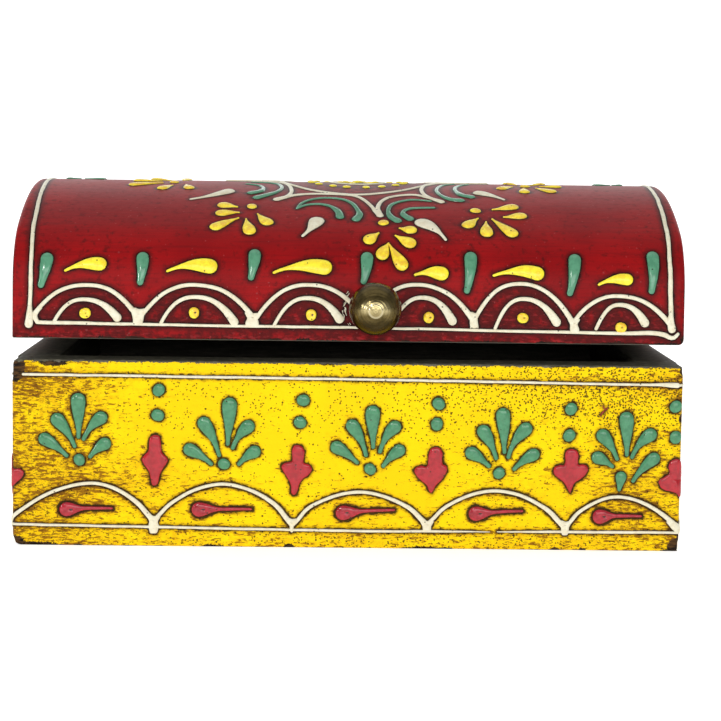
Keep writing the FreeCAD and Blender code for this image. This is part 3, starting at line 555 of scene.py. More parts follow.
FLOWERS = [
    [((-29.4, 39.6), (-26.2, 38.7)), ((-29.6, 34.9), (-25.6, 35.5)), ((-30.6, 28.1), (-25.6, 32.5)),
     ((-22.9, 26.7), (-23.8, 32.1)), ((-19.0, 30.5), (-21.3, 34.8))],
    [((13.9, 27.8), (11.4, 28.5)), ((13.6, 23.3), (10.4, 25.6)), ((11.7, 17.6), (9.0, 22.8)),
     ((7.4, 20.2), (8.8, 23.2)), ((4.4, 24.2), (6.6, 26.4))],
    [((38.0, 40.6), (33.3, 39.0)), ((39.6, 35.3), (35.7, 34.7)), ((37.0, 27.0), (32.9, 33.6)),
     ((31.2, 27.0), (31.4, 32.1)), ((27.2, 30.3), (29.6, 33.8))]]
FLOWER_DOTS = [(-22.8, 39.0), (7.7, 30.9), (29.3, 38.1)]
SIDE_FLOWERS = [
    [((-51.8, 56.6), (-45.0, 60.0)), ((-44.7, 52.8), (-42.4, 56.6)), ((-38.3, 53.5), (-39.3, 57.6)),
     ((-51.2, 64.0), (-45.6, 63.4)), ((-47.6, 70.6), (-43.6, 66.2)), ((-40.0, 71.6), (-40.6, 66.8))],
    [((36.8, 57.5), (39.6, 60.8)), ((42.0, 53.6), (42.2, 58.4)), ((48.4, 54.4), (45.2, 58.8)),
     ((50.4, 61.6), (46.4, 62.0)), ((47.2, 69.0), (44.6, 65.2)), ((39.2, 69.4), (41.0, 65.2))]]
WHITE_DROPS = [((-28.7, 50.2), (-37.3, 43.4), 1.5), ((-7.6, 31.4), (-10.8, 25.1), 1.82), ((16.8, 31.1), (21.8, 24.5), 1.92),
               ((30.9, 51.4), (36.5, 46.0), 1.5)]
STAR = [
    [(-17.2, 44.0), (-12.9, 47.5), (-8.2, 48.9), (-2.3, 48.8), (1.3, 47.5), (3.2, 44.8), (5.1, 40.2), (6.0, 36.9), (7.0, 34.6)],
    [(6.9, 34.6), (6.5, 38.7), (7.3, 43.1), (9.2, 46.4), (12.0, 48.4), (15.6, 49.1), (18.6, 46.8), (21.6, 43.7)],
    [(-17.2, 44.0), (-14.9, 46.4), (-13.8, 50.4), (-14.1, 55.5), (-15.2, 60.5), (-17.6, 64.8), (-22.0, 67.2), (-29.5, 68.3)],
    [(21.6, 43.7), (18.8, 47.0), (17.5, 51.3), (17.5, 56.8), (19.0, 62.8), (23.0, 66.8), (33.5, 68.3)]]
CRESCENTS = [
    [(-12.2, 38.3), (-11.2, 41.6), (-8.9, 44.3), (-5.4, 45.7), (-1.9, 44.8), (0.5, 42.0), (1.8, 38.0), (2.2, 35.1), (1.4, 32.6)],
    [(-12.0, 38.6), (-10.1, 40.5), (-7.3, 41.2), (-4.6, 39.9), (-2.7, 36.7), (-2.3, 33.7)],
    [(19.1, 44.2), (15.0, 45.0), (11.8, 43.5), (9.6, 40.9), (8.9, 37.0), (9.5, 34.0), (11.0, 32.0)],
    [(19.7, 39.8), (16.8, 39.5), (14.0, 38.9), (12.4, 37.1), (12.6, 35.0), (13.9, 33.1)],
    [(-23.6, 64.0), (-19.7, 62.9), (-17.2, 60.2), (-16.2, 55.3), (-17.0, 51.1), (-19.2, 47.9), (-21.9, 45.2)],
    [(-24.8, 60.0), (-21.9, 57.9), (-20.6, 54.2), (-21.3, 50.9), (-23.4, 49.0)],
    [(25.6, 65.4), (22.4, 61.1), (20.9, 54.2), (21.7, 49.1), (23.7, 45.9), (26.2, 45.0)],
    [(29.0, 64.6), (27.0, 62.0), (25.6, 58.0), (25.5, 53.5), (26.7, 49.5), (28.8, 47.8)]]


LID_STEMS = [((-47.6, 3.5), 1.10, 0.0, 3.4, 1.9, 2.3), ((-21.9, 3.4), 1.45, 0.0, 2.8, 1.6, 2.0), ((3.9, 3.2), 1.0, 0.0, 3.2, 1.8, 1.8),
             ((28.3, 3.2), 0.90, -0.5, 3.6, 1.7, 1.1), ((51.0, 2.75), 1.0, 0.0, 3.0, 1.6, 1.1)]


def lid_borders(m):
    for a, b, c in OUTER:
        cream_l.append(m(arc(a, b, c, [0.47, 0.43, 0.43, 0.44, 0.49, 0.62], 2.4)))
    for stem in LID_STEMS:
        cream_l.append(m(web(*stem)))
    cream_l.append(m(Stroke([(-69.6, 6.9), (-70.6, 5.8), (-70.8, 4.7), (-70.3, 3.7)], [0.48, 0.60, 0.58, 0.50], step=0.3)))
    for pts, pit in (([(-71.9, 7.0), (-72.0, 5.0), (-72.2, 3.1)], (-71.9, 4.8, 0.24, 0.75)),
                     ([(72.8, 7.2), (72.7, 5.3), (73.0, 3.7)], (72.8, 5.2, 0.26, 0.55))):
        s = Stroke(pts, [0.52, 0.80, 0.92], 0.5, step=0.2)
        s.pit = pit
        s = m(s)
        if s.p[0, 1] > S5 / 2:
            s.pit = (pit[0], S5 - pit[1], pit[2], pit[3])
        cream_l.append(s)
    for a, b, c in INNER:
        cream_l.append(m(arc(a, b, c, [0.40, 0.43, 0.46, 0.60, 1.02], 2.4)))
    for c in LID_DOTS:
        s = m(dot(c, 1.18))
        s.pit = (c[0] + 0.30, c[1] + 0.05 if s.p[0, 1] < S5 / 2 else S5 - c[1] - 0.05, 0.44, 0.30)
        gold_l.append(s)
    for h, t in GREEN_DROPS:
        green_l.append(m(drop(h, t, 1.46, 1.0, 0.03, neck=(0.1, 1.0), end=0.72)))
    for h, t, r in SIDE_DROPS:
        yellow_l.append(m(drop(h, t, r, 0.62, -0.080, neck=(0.10, 0.85), end=0.5)))
    cream_l.append(m(line([(-70.3, 3.6), (-35, 3.3), (2.0, 3.2), (40, 2.8), (60, 2.6), (68.1, 2.75), (71.2, 2.4), (72.6, 1.75),
                           (73.6, 1.8), (74.4, 2.6)], [0.42, 0.33, 0.31, 0.33, 0.40, 0.50, 0.55, 0.52, 0.46, 0.34])))


def lid_flowers(m):
    for petals in FLOWERS:
        for h, t in petals:
            gold_l.append(m(drop(h, t, 1.52, 0.5, 0.02, neck=(0.1, 1.0), end=0.45)))
    for c in FLOWER_DOTS:
        gold_l.append(m(dot(c, 1.2)))
    for h, t, r in WHITE_DROPS:
        cream_l.append(m(drop(h, t, r, 0.60, 0.05, neck=(0.05, 0.80), end=0.55)))


def lid_rosette(m):
    for k, path in enumerate(STAR):
        r = np.full(len(path), 0.47)
        r[0] = r[-1] = 0.85
        r[1] = r[-2] = 0.58
        cream_l.append(m(Stroke(path, r, step=0.45, wob=0.1)))
    for path in CRESCENTS:
        r = np.linspace(0.34, 0.62, len(path))
        r[-1], r[-2] = 1.02, 0.85
        green_l.append(m(Stroke(path, r, step=0.4, wob=0.1)))


def flip(about):
    def m(s):
        s.p = np.stack([s.p[:, 0], 2 * about - s.p[:, 1]], -1)
        if isinstance(s, Patch):
            s.p = s.p[::-1].copy()
        return s
    return m


def keep(s):
    return s


lid_borders(keep)
lid_borders(flip(S5 / 2))
lid_flowers(keep)
lid_flowers(flip(71.5))
lid_rosette(keep)
lid_rosette(flip(CS))
cream_l.append(line([(-72.1, 3.2), (-71.9, 7.0), (-71.7, 15.3), (-72.1, 29.3), (-72.7, 45), (-73.2, 61), (-73.2, 75), (-73.0, 95),
                     (-72.4, 120), (-72.2, S5 - 3.0)], 0.45))
cream_l.append(line([(72.9, 3.8), (72.8, 7.2), (72.5, 15.9), (72.6, 26.7), (72.9, 37.0), (73.2, 55), (73.3, 75), (73.0, 95),
                     (72.6, 120), (73.0, S5 - 3.8)], [0.60, 0.54, 0.50, 0.48, 0.48, 0.44, 0.44, 0.44, 0.46, 0.6]))
for petals in SIDE_FLOWERS:
    for h, t in petals:
        gold_l.append(drop(h, t, 1.35, 0.5, 0.02, neck=(0.1, 1.0), end=0.4))
gold_l.append(dot((-42.4, 61.4), 1.2))
gold_l.append(dot((42.8, 61.6), 1.2))
# a three-drop leaf at each end of the crown
for x0, x1, x2 in ((-61.0, -65.0, -69.0), (61.6, 64.6, 67.0)):
    green_l.append(drop((x0, 69.0), (x1, 71.0), 0.95, 0.5, neck=(0.0, 0.9)))
    green_l.append(drop((x0, 74.0), (x1, 72.0), 0.95, 0.5, neck=(0.0, 0.9)))
    green_l.append(drop((x2, 71.5), (0.7 * x1 + 0.3 * x2, 71.5), 0.85, 0.5, neck=(0.0, 0.9)))

# scuffed paint beside the knob
worn = np.random.default_rng(3)
for k in range(22):
    a, r = math.radians(worn.uniform(150, 216)), worn.uniform(6.35, 7.3)
    x, s = 5.7 + r * math.cos(a), 7.75 + r * math.sin(a)
    h = worn.uniform(0.15, 0.5)
    tx, ts = -math.sin(a) + worn.normal(0, 0.25), math.cos(a) + worn.normal(0, 0.25)
    cream_l.append(Stroke([(x - tx * h, s - ts * h), (x + tx * h, s + ts * h)], [worn.uniform(0.04, 0.10), worn.uniform(0.03, 0.07)], 0.12,
                          step=0.15, wob=0.3))

# Rosette on the crown: rings, and a flower inside them.
def polar(r, deg):
    a = math.radians(deg)
    return (CX + r * math.cos(a), CS + r * math.sin(a))


half = [(-16.7, 68.3), (-15.4, 62.6), (-12.6, 57.0), (-9.0, 52.8), (-3.8, 49.9), (1.7, 48.7), (8.1, 50.6), (13.7, 54.6),
        (17.8, 60.0), (20.4, 64.4), (21.0, 68.3)]
ring = half + [(x, 2 * CS - s) for x, s in half[-2:0:-1]] + [half[0]]
cream_l.append(line(ring, 0.46, step=0.5))
cream_l.append(line([polar(6.4, k) for k in range(0, 361, 15)], 0.42, step=0.4))
for k in range(17):
    yellow_l.append(dot(polar(11.5, 360.0 / 17 * k + 3.0 + rng.normal(0, 1.2)), 0.95))
yellow_l.append(dot(polar(0, 0), 1.5))
for k in range(6):
    yellow_l.append(drop(polar(4.5, 60 * k + 12), polar(2.5, 60 * k + 12), 0.8, 0.4))

# Ends of the lid: a line round the arch, and a flower.
ends_c, ends_g, ends_y = [[], []], [[], []], [[], []]
for e in (0, 1):
    ss = np.linspace(9.0, S5 - 9.0, 46)
    y, z, ny, nz = lid_profile(ss, 4.4)
    path = [(-43.2, 4.6)] + [(float(a - LID_MID), float(b - GAP)) for a, b in zip(y, z)] + [(43.2, 4.6)]
    ends_c[e].append(line(path, 0.5))
    ends_c[e].append(line([(-43.4, 4.4), (-20, 4.2), (0, 4.0), (20, 4.2), (43.4, 4.4)], 0.42))
    for k in range(4):
        a = -43.0 + 21.5 * k
        o = arc((a + 0.6, 5.6), (a + 10.6, 12.4 + rng.normal(0, 0.3)), (a + 21.0, 5.2), [0.5, 0.56, 0.56, 0.8], 2.4)
        ends_c[e].append(o)
        ends_c[e].append(arc((a + 4.6, 4.6), (a + 10.6, 9.4), (a + 16.6, 5.6), [0.42, 0.46, 0.5, 0.95], 2.4))
        ends_y[e].append(dot((a + 10.5, 6.4), 1.15))
    for k in range(5):
        a = -30.0 + 15.0 * k
        if k != 2:
            ends_g[e].append(drop((a, 19.4 - abs(k - 2) * 0.6), (a - 0.4, 14.2), 1.5, 0.9, 0.02, neck=(0.1, 1.0), end=0.6))
    for deg in (18, 56, 90, 124, 162):
        a = math.radians(deg)
        ends_y[e].append(drop((7.0 * math.cos(a), 19.2 + 8.2 * math.sin(a)), (2.6 * math.cos(a), 19.2 + 3.0 * math.sin(a)), 1.3, 0.42))
    ends_y[e].append(dot((0.1, 18.4), 1.25))


# --------------------------------------------------------------- mesh helpers
def make_mesh(name, verts_mm, quads, attrs=None, smooth_faces=True):
    me = bpy.data.meshes.new(name)
    v = np.asarray(verts_mm, float) * MM
    q = np.asarray(quads, np.int64)
    me.vertices.add(len(v))
    me.vertices.foreach_set("co", v.ravel())
    me.loops.add(q.size)
    me.loops.foreach_set("vertex_index", q.ravel())
    me.polygons.add(len(q))
    me.polygons.foreach_set("loop_start", np.arange(0, q.size, 4))
    me.polygons.foreach_set("loop_total", np.full(len(q), 4))
    me.update(calc_edges=True)
    me.validate()
    if smooth_faces:
        me.polygons.foreach_set("use_smooth", np.ones(len(me.polygons), bool))
    for key, val in (attrs or {}).items():
        a = me.attributes.new(key, "FLOAT", "POINT")
        a.data.foreach_set("value", np.asarray(val, np.float32))
    ob = bpy.data.objects.new(name, me)
    bpy.context.scene.collection.objects.link(ob)
    return ob


def relief(name, groups, mat, body):
    vs, qs, rs, n = [], [], [], 0
    for strokes, at in groups:
        for s in strokes:
            v, q, r = s.mesh(at)
            vs.append(v)
            qs.append(q + n)
            rs.append(r)
            n += len(v)
    ob = make_mesh(name, np.vstack(vs), np.vstack(qs), {"rim": np.concatenate(rs)})
    ob.data.materials.append(mat)
    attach(ob, body)
    return ob


def field(strokes, uv, wrap=None, reach=6.0):
    """Distance from surface points to the nearest bead, up to `reach`."""
    out = np.full(len(uv), reach)
    for s in strokes:
        for shift in ((0.0,) if wrap is None else (-wrap, 0.0, wrap)):
            lo = s.p.min(0) - s.r.max() - reach
            hi = s.p.max(0) + s.r.max() + reach
            lo = lo + np.array([shift, 0])
            hi = hi + np.array([shift, 0])
            m = np.nonzero((uv[:, 0] > lo[0]) & (uv[:, 0] < hi[0]) & (uv[:, 1] > lo[1]) & (uv[:, 1] < hi[1]))[0]
            if len(m):
                out[m] = np.minimum(out[m], s.distance(uv[m] - np.array([shift, 0])) - s.halo)
    return out


def axis_lines(lo, hi, step, r_lo, r_hi):
    """Grid lines along one axis, close together in the rounded edges."""
    k = np.array([0.0, 0.14, 0.32, 0.54, 0.78, 1.0])
    a = lo + k * r_lo
    b = hi - k[::-1] * r_hi
    n = max(2, int(round((b[0] - a[-1]) / step)))
    return np.concatenate([a, np.linspace(a[-1], b[0], n + 1)[1:-1], b])


def box_grid(xs, ys, zs):
    """The closed skin of a box on these grid lines: index triples and quads."""
    nx, ny, nz = len(xs), len(ys), len(zs)

    def idx(i, j, k):
        return (i * ny + j) * nz + k

    quads = []

    def sheet(n, m, f, flip):
        a, b = np.meshgrid(np.arange(n - 1), np.arange(m - 1), indexing="ij")
        q = np.stack([f(a, b), f(a + 1, b), f(a + 1, b + 1), f(a, b + 1)], -1).reshape(-1, 4)
        quads.append(q[:, ::-1] if flip else q)

    sheet(nx, ny, lambda a, b: idx(a, b, 0), True)
    sheet(nx, ny, lambda a, b: idx(a, b, nz - 1), False)
    sheet(nx, nz, lambda a, b: idx(a, 0, b), False)
    sheet(nx, nz, lambda a, b: idx(a, ny - 1, b), True)
    sheet(ny, nz, lambda a, b: idx(0, a, b), True)
    sheet(ny, nz, lambda a, b: idx(nx - 1, a, b), False)
    q = np.vstack(quads)
    used, inv = np.unique(q.ravel(), return_inverse=True)
    k = used % nz
    j = (used // nz) % ny
    i = used // (nz * ny)
    return np.stack([xs[i], ys[j], zs[k]], -1), inv.reshape(-1, 4), np.stack([i, j, k], -1)


def round_edge(p, ax, va, sa, bx, vb, sb, r):
    """Round the edge where face ax = va meets face bx = vb."""
    da, db = (va - p[:, ax]) * sa, (vb - p[:, bx]) * sb
    m = (da < r - 1e-9) & (db < r - 1e-9) & (da > -1e-6) & (db > -1e-6)
    a, b = r - da[m], r - db[m]
    size = np.maximum(np.hypot(a, b), 1e-9)
    k = np.where(size > r * 0.999, r / size, 1.0)
    p[m, ax] = va - sa * (r - a * k)
    p[m, bx] = vb - sb * (r - b * k)


# ------------------------------------------------------------ material helper
class Graph:
    def __init__(self, name):
        self.mat = bpy.data.materials.new(name)
        self.mat.use_nodes = True
        self.t = self.mat.node_tree
        self.t.nodes.clear()
        self.out = self.t.nodes.new("ShaderNodeOutputMaterial")
        self.bsdf = self.t.nodes.new("ShaderNodeBsdfPrincipled")
        self.t.links.new(self.bsdf.outputs["BSDF"], self.out.inputs["Surface"])

    def put(self, socket, value):
        if hasattr(value, "is_output"):
            self.t.links.new(value, socket)
        else:
            socket.default_value = value

    def coords(self, scale, location=(0, 0, 0), rotation=(0, 0, 0)):
        tc = self.t.nodes.new("ShaderNodeTexCoord")
        mp = self.t.nodes.new("ShaderNodeMapping")
        mp.inputs["Scale"].default_value = scale
        mp.inputs["Location"].default_value = location
        mp.inputs["Rotation"].default_value = rotation
        self.t.links.new(tc.outputs["Object"], mp.inputs["Vector"])
        return mp.outputs["Vector"]

    def noise(self, vec, scale, detail=3.0, rough=0.55, distort=0.0):
        n = self.t.nodes.new("ShaderNodeTexNoise")
        self.t.links.new(vec, n.inputs["Vector"])
        n.inputs["Scale"].default_value = scale
        n.inputs["Detail"].default_value = detail
        n.inputs["Roughness"].default_value = rough
        n.inputs["Distortion"].default_value = distort
        return n.outputs["Fac"]

    def cells(self, vec, scale, feature="F1"):
        n = self.t.nodes.new("ShaderNodeTexVoronoi")
        n.feature = feature
        self.t.links.new(vec, n.inputs["Vector"])
        n.inputs["Scale"].default_value = scale
        return n.outputs["Distance"], n.outputs["Color"]

    def attr(self, name):
        n = self.t.nodes.new("ShaderNodeAttribute")
        n.attribute_name = name
        return n.outputs["Fac"]

    def math(self, op, a, b=0.0, clamp=False):
        n = self.t.nodes.new("ShaderNodeMath")
        n.operation = op
        n.use_clamp = clamp
        self.put(n.inputs[0], a)
        self.put(n.inputs[1], b)
        return n.outputs[0]

    def step(self, x, lo, hi, a=0.0, b=1.0):
        n = self.t.nodes.new("ShaderNodeMapRange")
        n.interpolation_type = "SMOOTHSTEP"
        self.put(n.inputs["Value"], x)
        n.inputs["From Min"].default_value = lo
        n.inputs["From Max"].default_value = hi
        n.inputs["To Min"].default_value = a
        n.inputs["To Max"].default_value = b
        return n.outputs["Result"]

    def mix(self, fac, a, b):
        n = self.t.nodes.new("ShaderNodeMix")
        n.data_type = "RGBA"
        n.clamp_factor = True
        self.put(n.inputs[0], fac)
        self.put(n.inputs[6], a if hasattr(a, "is_output") else (*a, 1.0))
        self.put(n.inputs[7], b if hasattr(b, "is_output") else (*b, 1.0))
        return n.outputs[2]

    def axis(self, vec, k):
        n = self.t.nodes.new("ShaderNodeSeparateXYZ")
        self.t.links.new(vec, n.inputs[0])
        return n.outputs[k]

    def bump(self, height, strength, distance, normal=None):
        n = self.t.nodes.new("ShaderNodeBump")
        n.inputs["Strength"].default_value = strength
        n.inputs["Distance"].default_value = distance
        self.put(n.inputs["Height"], height)
        if normal is not None:
            self.t.links.new(normal, n.inputs["Normal"])
        return n.outputs["Normal"]

    def done(self, color, rough, normal=None, **fixed):
        self.put(self.bsdf.inputs["Base Color"], color)
        self.put(self.bsdf.inputs["Roughness"], rough)
        if normal is not None:
            self.t.links.new(normal, self.bsdf.inputs["Normal"])
        for key, val in fixed.items():
            self.bsdf.inputs[key.replace("_", " ")].default_value = val
        return self.mat


def lin(r, g, b):
    def f(c):
        c /= 255.0
        return c / 12.92 if c <= 0.04045 else ((c + 0.055) / 1.055) ** 2.4
    return (f(r), f(g), f(b))


def board_paint(name, red):
    """Brushed paint over wood: short brushed dashes, antique glaze pooled
    against the beads (dist, in mm), specks, chips, a black rim and inside.
    The black is laid on pale grey on the rim and edges as painted light, and darker on the inside walls as painted
    shade."""
    g = Graph(name)
    mm = g.coords((1000, 1000, 1000))
    if red:
        streak_v = g.coords((1000 * 0.07, 1000 * 1.3, 1000 * 1.3))
        dash_v = g.coords((1000 * 0.55, 1000 * 1.7, 1000 * 1.7))
    else:
        streak_v = g.coords((1000 * 0.12, 1000 * 0.12, 1000 * 1.2))
        dash_v = g.coords((1000 * 0.46, 1000 * 0.46, 1000 * 1.75))
        thin_v = g.coords((1000 * 0.75, 1000 * 0.75, 1000 * 2.6), (0.37, 0.37, 0.71))
    dist, grime, speck, chip, black = (g.attr(k) for k in ("dist", "grime", "speck", "chip", "black"))
    n_streak = g.noise(streak_v, 1.0, 5.0, 0.62, 0.3)
    n_dash = g.noise(dash_v, 1.0, 3.0, 0.62, 0.25)
    n_fine = g.noise(mm, 2.6, 3.0, 0.6)
    n_med = g.noise(mm, 0.7, 4.0, 0.6)
    n_big = g.noise(mm, 0.07, 2.0, 0.5)
    near = g.step(dist, 2.2, 0.2)
    rub = g.math("ADD", grime, g.math("MULTIPLY", near, 0.26 if red else 0.20))
    if red:
        color = g.mix(g.step(n_big, 0.35, 0.65), lin(150, 14, 17), lin(135, 11, 15))
        deep, dark = lin(30, 11, 8), lin(62, 13, 13)
        soft = g.step(n_streak, 0.42, 0.72)
        color = g.mix(g.math("MULTIPLY", soft, 0.50), color, lin(106, 12, 17))
        wash = g.step(g.math("ADD", n_med, g.math("MULTIPLY", rub, 0.34)), 0.60, 0.88)
        color = g.mix(g.math("MULTIPLY", wash, 0.75), color, dark)
        dash = g.step(g.math("ADD", n_dash, g.math("MULTIPLY", rub, 0.26)), 0.76, 0.90)
        color = g.mix(g.math("MULTIPLY", dash, 0.45), color, lin(52, 12, 12))
        scrape = g.step(g.math("ADD", g.math("SUBTRACT", 1.0, n_dash), g.math("MULTIPLY", grime, 0.20)), 0.72, 0.82)
        color = g.mix(g.math("MULTIPLY", scrape, g.math("MULTIPLY", grime, 0.22)), color, lin(200, 62, 66))
    else:
        color = g.mix(g.step(n_big, 0.35, 0.65), lin(251, 214, 5), lin(247, 206, 5))
        deep, dark = lin(38, 24, 9), lin(112, 70, 12)
        soft = g.step(g.math("ADD", g.math("MULTIPLY", n_streak, 0.5), g.math("MULTIPLY", n_med, 0.5)), 0.48, 0.70)
        color = g.mix(g.math("MULTIPLY", soft, 0.32), color, lin(236, 192, 6))
        wash = g.step(g.math("ADD", g.math("ADD", g.math("MULTIPLY", n_med, 0.50), g.math("MULTIPLY", n_dash, 0.50)),
                             g.math("MULTIPLY", rub, 0.36)), 0.58, 0.94)
        color = g.mix(g.math("MULTIPLY", wash, 0.80), color, lin(214, 162, 8))
        dash = g.step(g.math("ADD", n_dash, g.math("MULTIPLY", rub, 0.19)), 0.70, 0.738)
        color = g.mix(g.math("MULTIPLY", dash, 0.88), color, lin(136, 88, 11))
        n_thin = g.noise(thin_v, 1.0, 2.0, 0.6, 0.2)
        thin = g.step(g.math("ADD", n_thin, g.math("MULTIPLY", rub, 0.19)), 0.71, 0.745)
        color = g.mix(g.math("MULTIPLY", thin, 0.82), color, lin(104, 64, 11))
        grit = g.step(g.math("ADD", n_fine, g.math("MULTIPLY", rub, 0.15)), 0.71, 0.76)
        color = g.mix(g.math("MULTIPLY", grit, 0.56), color, lin(112, 76, 16))
    # pooled round the beads
    edge = g.math("ADD", dist, g.math("MULTIPLY", g.math("SUBTRACT", n_med, 0.5), 1.6))
    halo = g.step(edge, 1.35 if red else 0.90, 0.05)
    color = g.mix(g.math("MULTIPLY", halo, 0.78 if red else 0.66), color, dark)
    rim = g.step(g.math("ADD", dist, g.math("ADD", g.math("MULTIPLY", g.math("SUBTRACT", n_fine, 0.5), 0.7), g.math("MULTIPLY", g.math("SUBTRACT", n_med, 0.5), 1.1))), 0.40, 0.08)
    color = g.mix(g.math("MULTIPLY", rim, 0.92), color, deep)
    # specks
    d, col = g.cells(mm, 1.15)
    dens = g.math("GREATER_THAN", g.math("ADD", g.axis(col, 0), g.math("MULTIPLY", speck, 0.50)), 0.995 if red else 0.988)
    ruff = g.math("MULTIPLY", g.math("SUBTRACT", n_fine, 0.5), 0.55)
    sp = g.math("MULTIPLY", g.step(g.math("ADD", d, ruff), 0.33, 0.20), dens)
    d2, col2 = g.cells(mm, 2.3)
    dens2 = g.math("GREATER_THAN", g.math("ADD", g.axis(col2, 1), g.math("MULTIPLY", speck, 0.46)), 0.997 if red else 0.990)
    sp2 = g.math("MULTIPLY", g.step(g.math("ADD", d2, ruff), 0.52, 0.32), dens2)
    spots = g.math("MAXIMUM", sp, sp2)
    color = g.mix(g.math("MULTIPLY", spots, 0.20 if red else 0.90), color, lin(186, 92, 92) if red else deep)
    # chips down to the dark ground, and the black rim and inside: the black is pale grey on the rim as painted light
    # and darker on the inside walls as painted shade
    ragged = g.math("ADD", chip, g.math("MULTIPLY", g.math("SUBTRACT", n_fine, 0.5), 1.2))
    hole = g.step(ragged, -0.06, 0.12)
    ground = g.mix(g.step(n_dash, 0.38, 0.66), lin(22, 17, 13), lin(56, 28, 20) if red else lin(84, 58, 30))
    color = g.mix(hole, color, ground)
    # painted light: the black paint is made pale grey on the rim top, edges and underside, where the lid shades it
    ink = g.mix(g.step(n_med, 0.42, 0.72), lin(80, 78, 67), lin(112, 108, 93))
    # painted shade: a darker copy of the black paint for the inside walls of the base and lid
    inside_shade_ink = g.mix(g.step(n_streak, 0.40, 0.74), lin(70, 68, 60), lin(94, 90, 80))
    ink = g.mix(g.step(black, 3.4, 4.6), ink, inside_shade_ink)
    scuff = g.step(g.math("ADD", n_dash, g.math("MULTIPLY", n_fine, 0.25)), 0.80, 0.92)
    ink = g.mix(g.math("MULTIPLY", scuff, 0.35), ink, lin(120, 112, 96))
    rimline = g.math("ADD", black, g.math("ADD", g.math("MULTIPLY", g.math("SUBTRACT", n_fine, 0.5), 0.7),
                                          g.math("MULTIPLY", g.math("SUBTRACT", n_med, 0.5), 1.3)))
    is_black = g.step(rimline, -0.06, 0.06)
    color = g.mix(is_black, color, ink)
    rough = g.math("ADD", 0.36, g.math("MULTIPLY", n_med, 0.14))
    rough = g.math("ADD", rough, g.math("MULTIPLY", is_black, 0.16))
    h = g.math("ADD", g.math("MULTIPLY", n_dash, 0.6), g.math("MULTIPLY", n_fine, 0.4))
    h = g.math("SUBTRACT", h, g.math("MULTIPLY", g.math("MAXIMUM", spots, hole), 1.2))
    nrm = g.bump(h, 0.35, 0.00009)
    return g.done(color, rough, nrm, Specular_IOR_Level=0.09 if red else 0.07)


def bead_paint(name, main, shade, rough):
    """Thick enamel bead: glaze in the foot, small pits, a soft gloss."""
    g = Graph(name)
    mm = g.coords((1000, 1000, 1000))
    rim = g.attr("rim")
    n_med = g.noise(mm, 0.8, 3.0, 0.55)
    n_fine = g.noise(mm, 3.2, 3.0, 0.6)
    color = g.mix(g.step(n_med, 0.35, 0.70), main, shade)
    foot = g.step(g.math("ADD", rim, g.math("MULTIPLY", g.math("SUBTRACT", n_fine, 0.5), 0.3)), 0.58, 0.88)
    color = g.mix(g.math("MULTIPLY", foot, 0.92), color, lin(40, 26, 14))
    d, col = g.cells(mm, 0.95)
    pit = g.math("MULTIPLY", g.step(d, 0.25, 0.12), g.math("GREATER_THAN", g.axis(col, 0), 0.86))
    color = g.mix(g.math("MULTIPLY", pit, 0.85), color, lin(44, 30, 20))
    wear = g.step(n_fine, 0.60, 0.76)
    color = g.mix(g.math("MULTIPLY", wear, 0.26), color, lin(120, 86, 50))
    rg = g.math("ADD", rough, g.math("MULTIPLY", n_med, 0.12))
    h = g.math("SUBTRACT", g.math("MULTIPLY", n_med, 0.6), pit)
    return g.done(color, rg, g.bump(h, 0.4, 0.00012), Specular_IOR_Level=0.5)


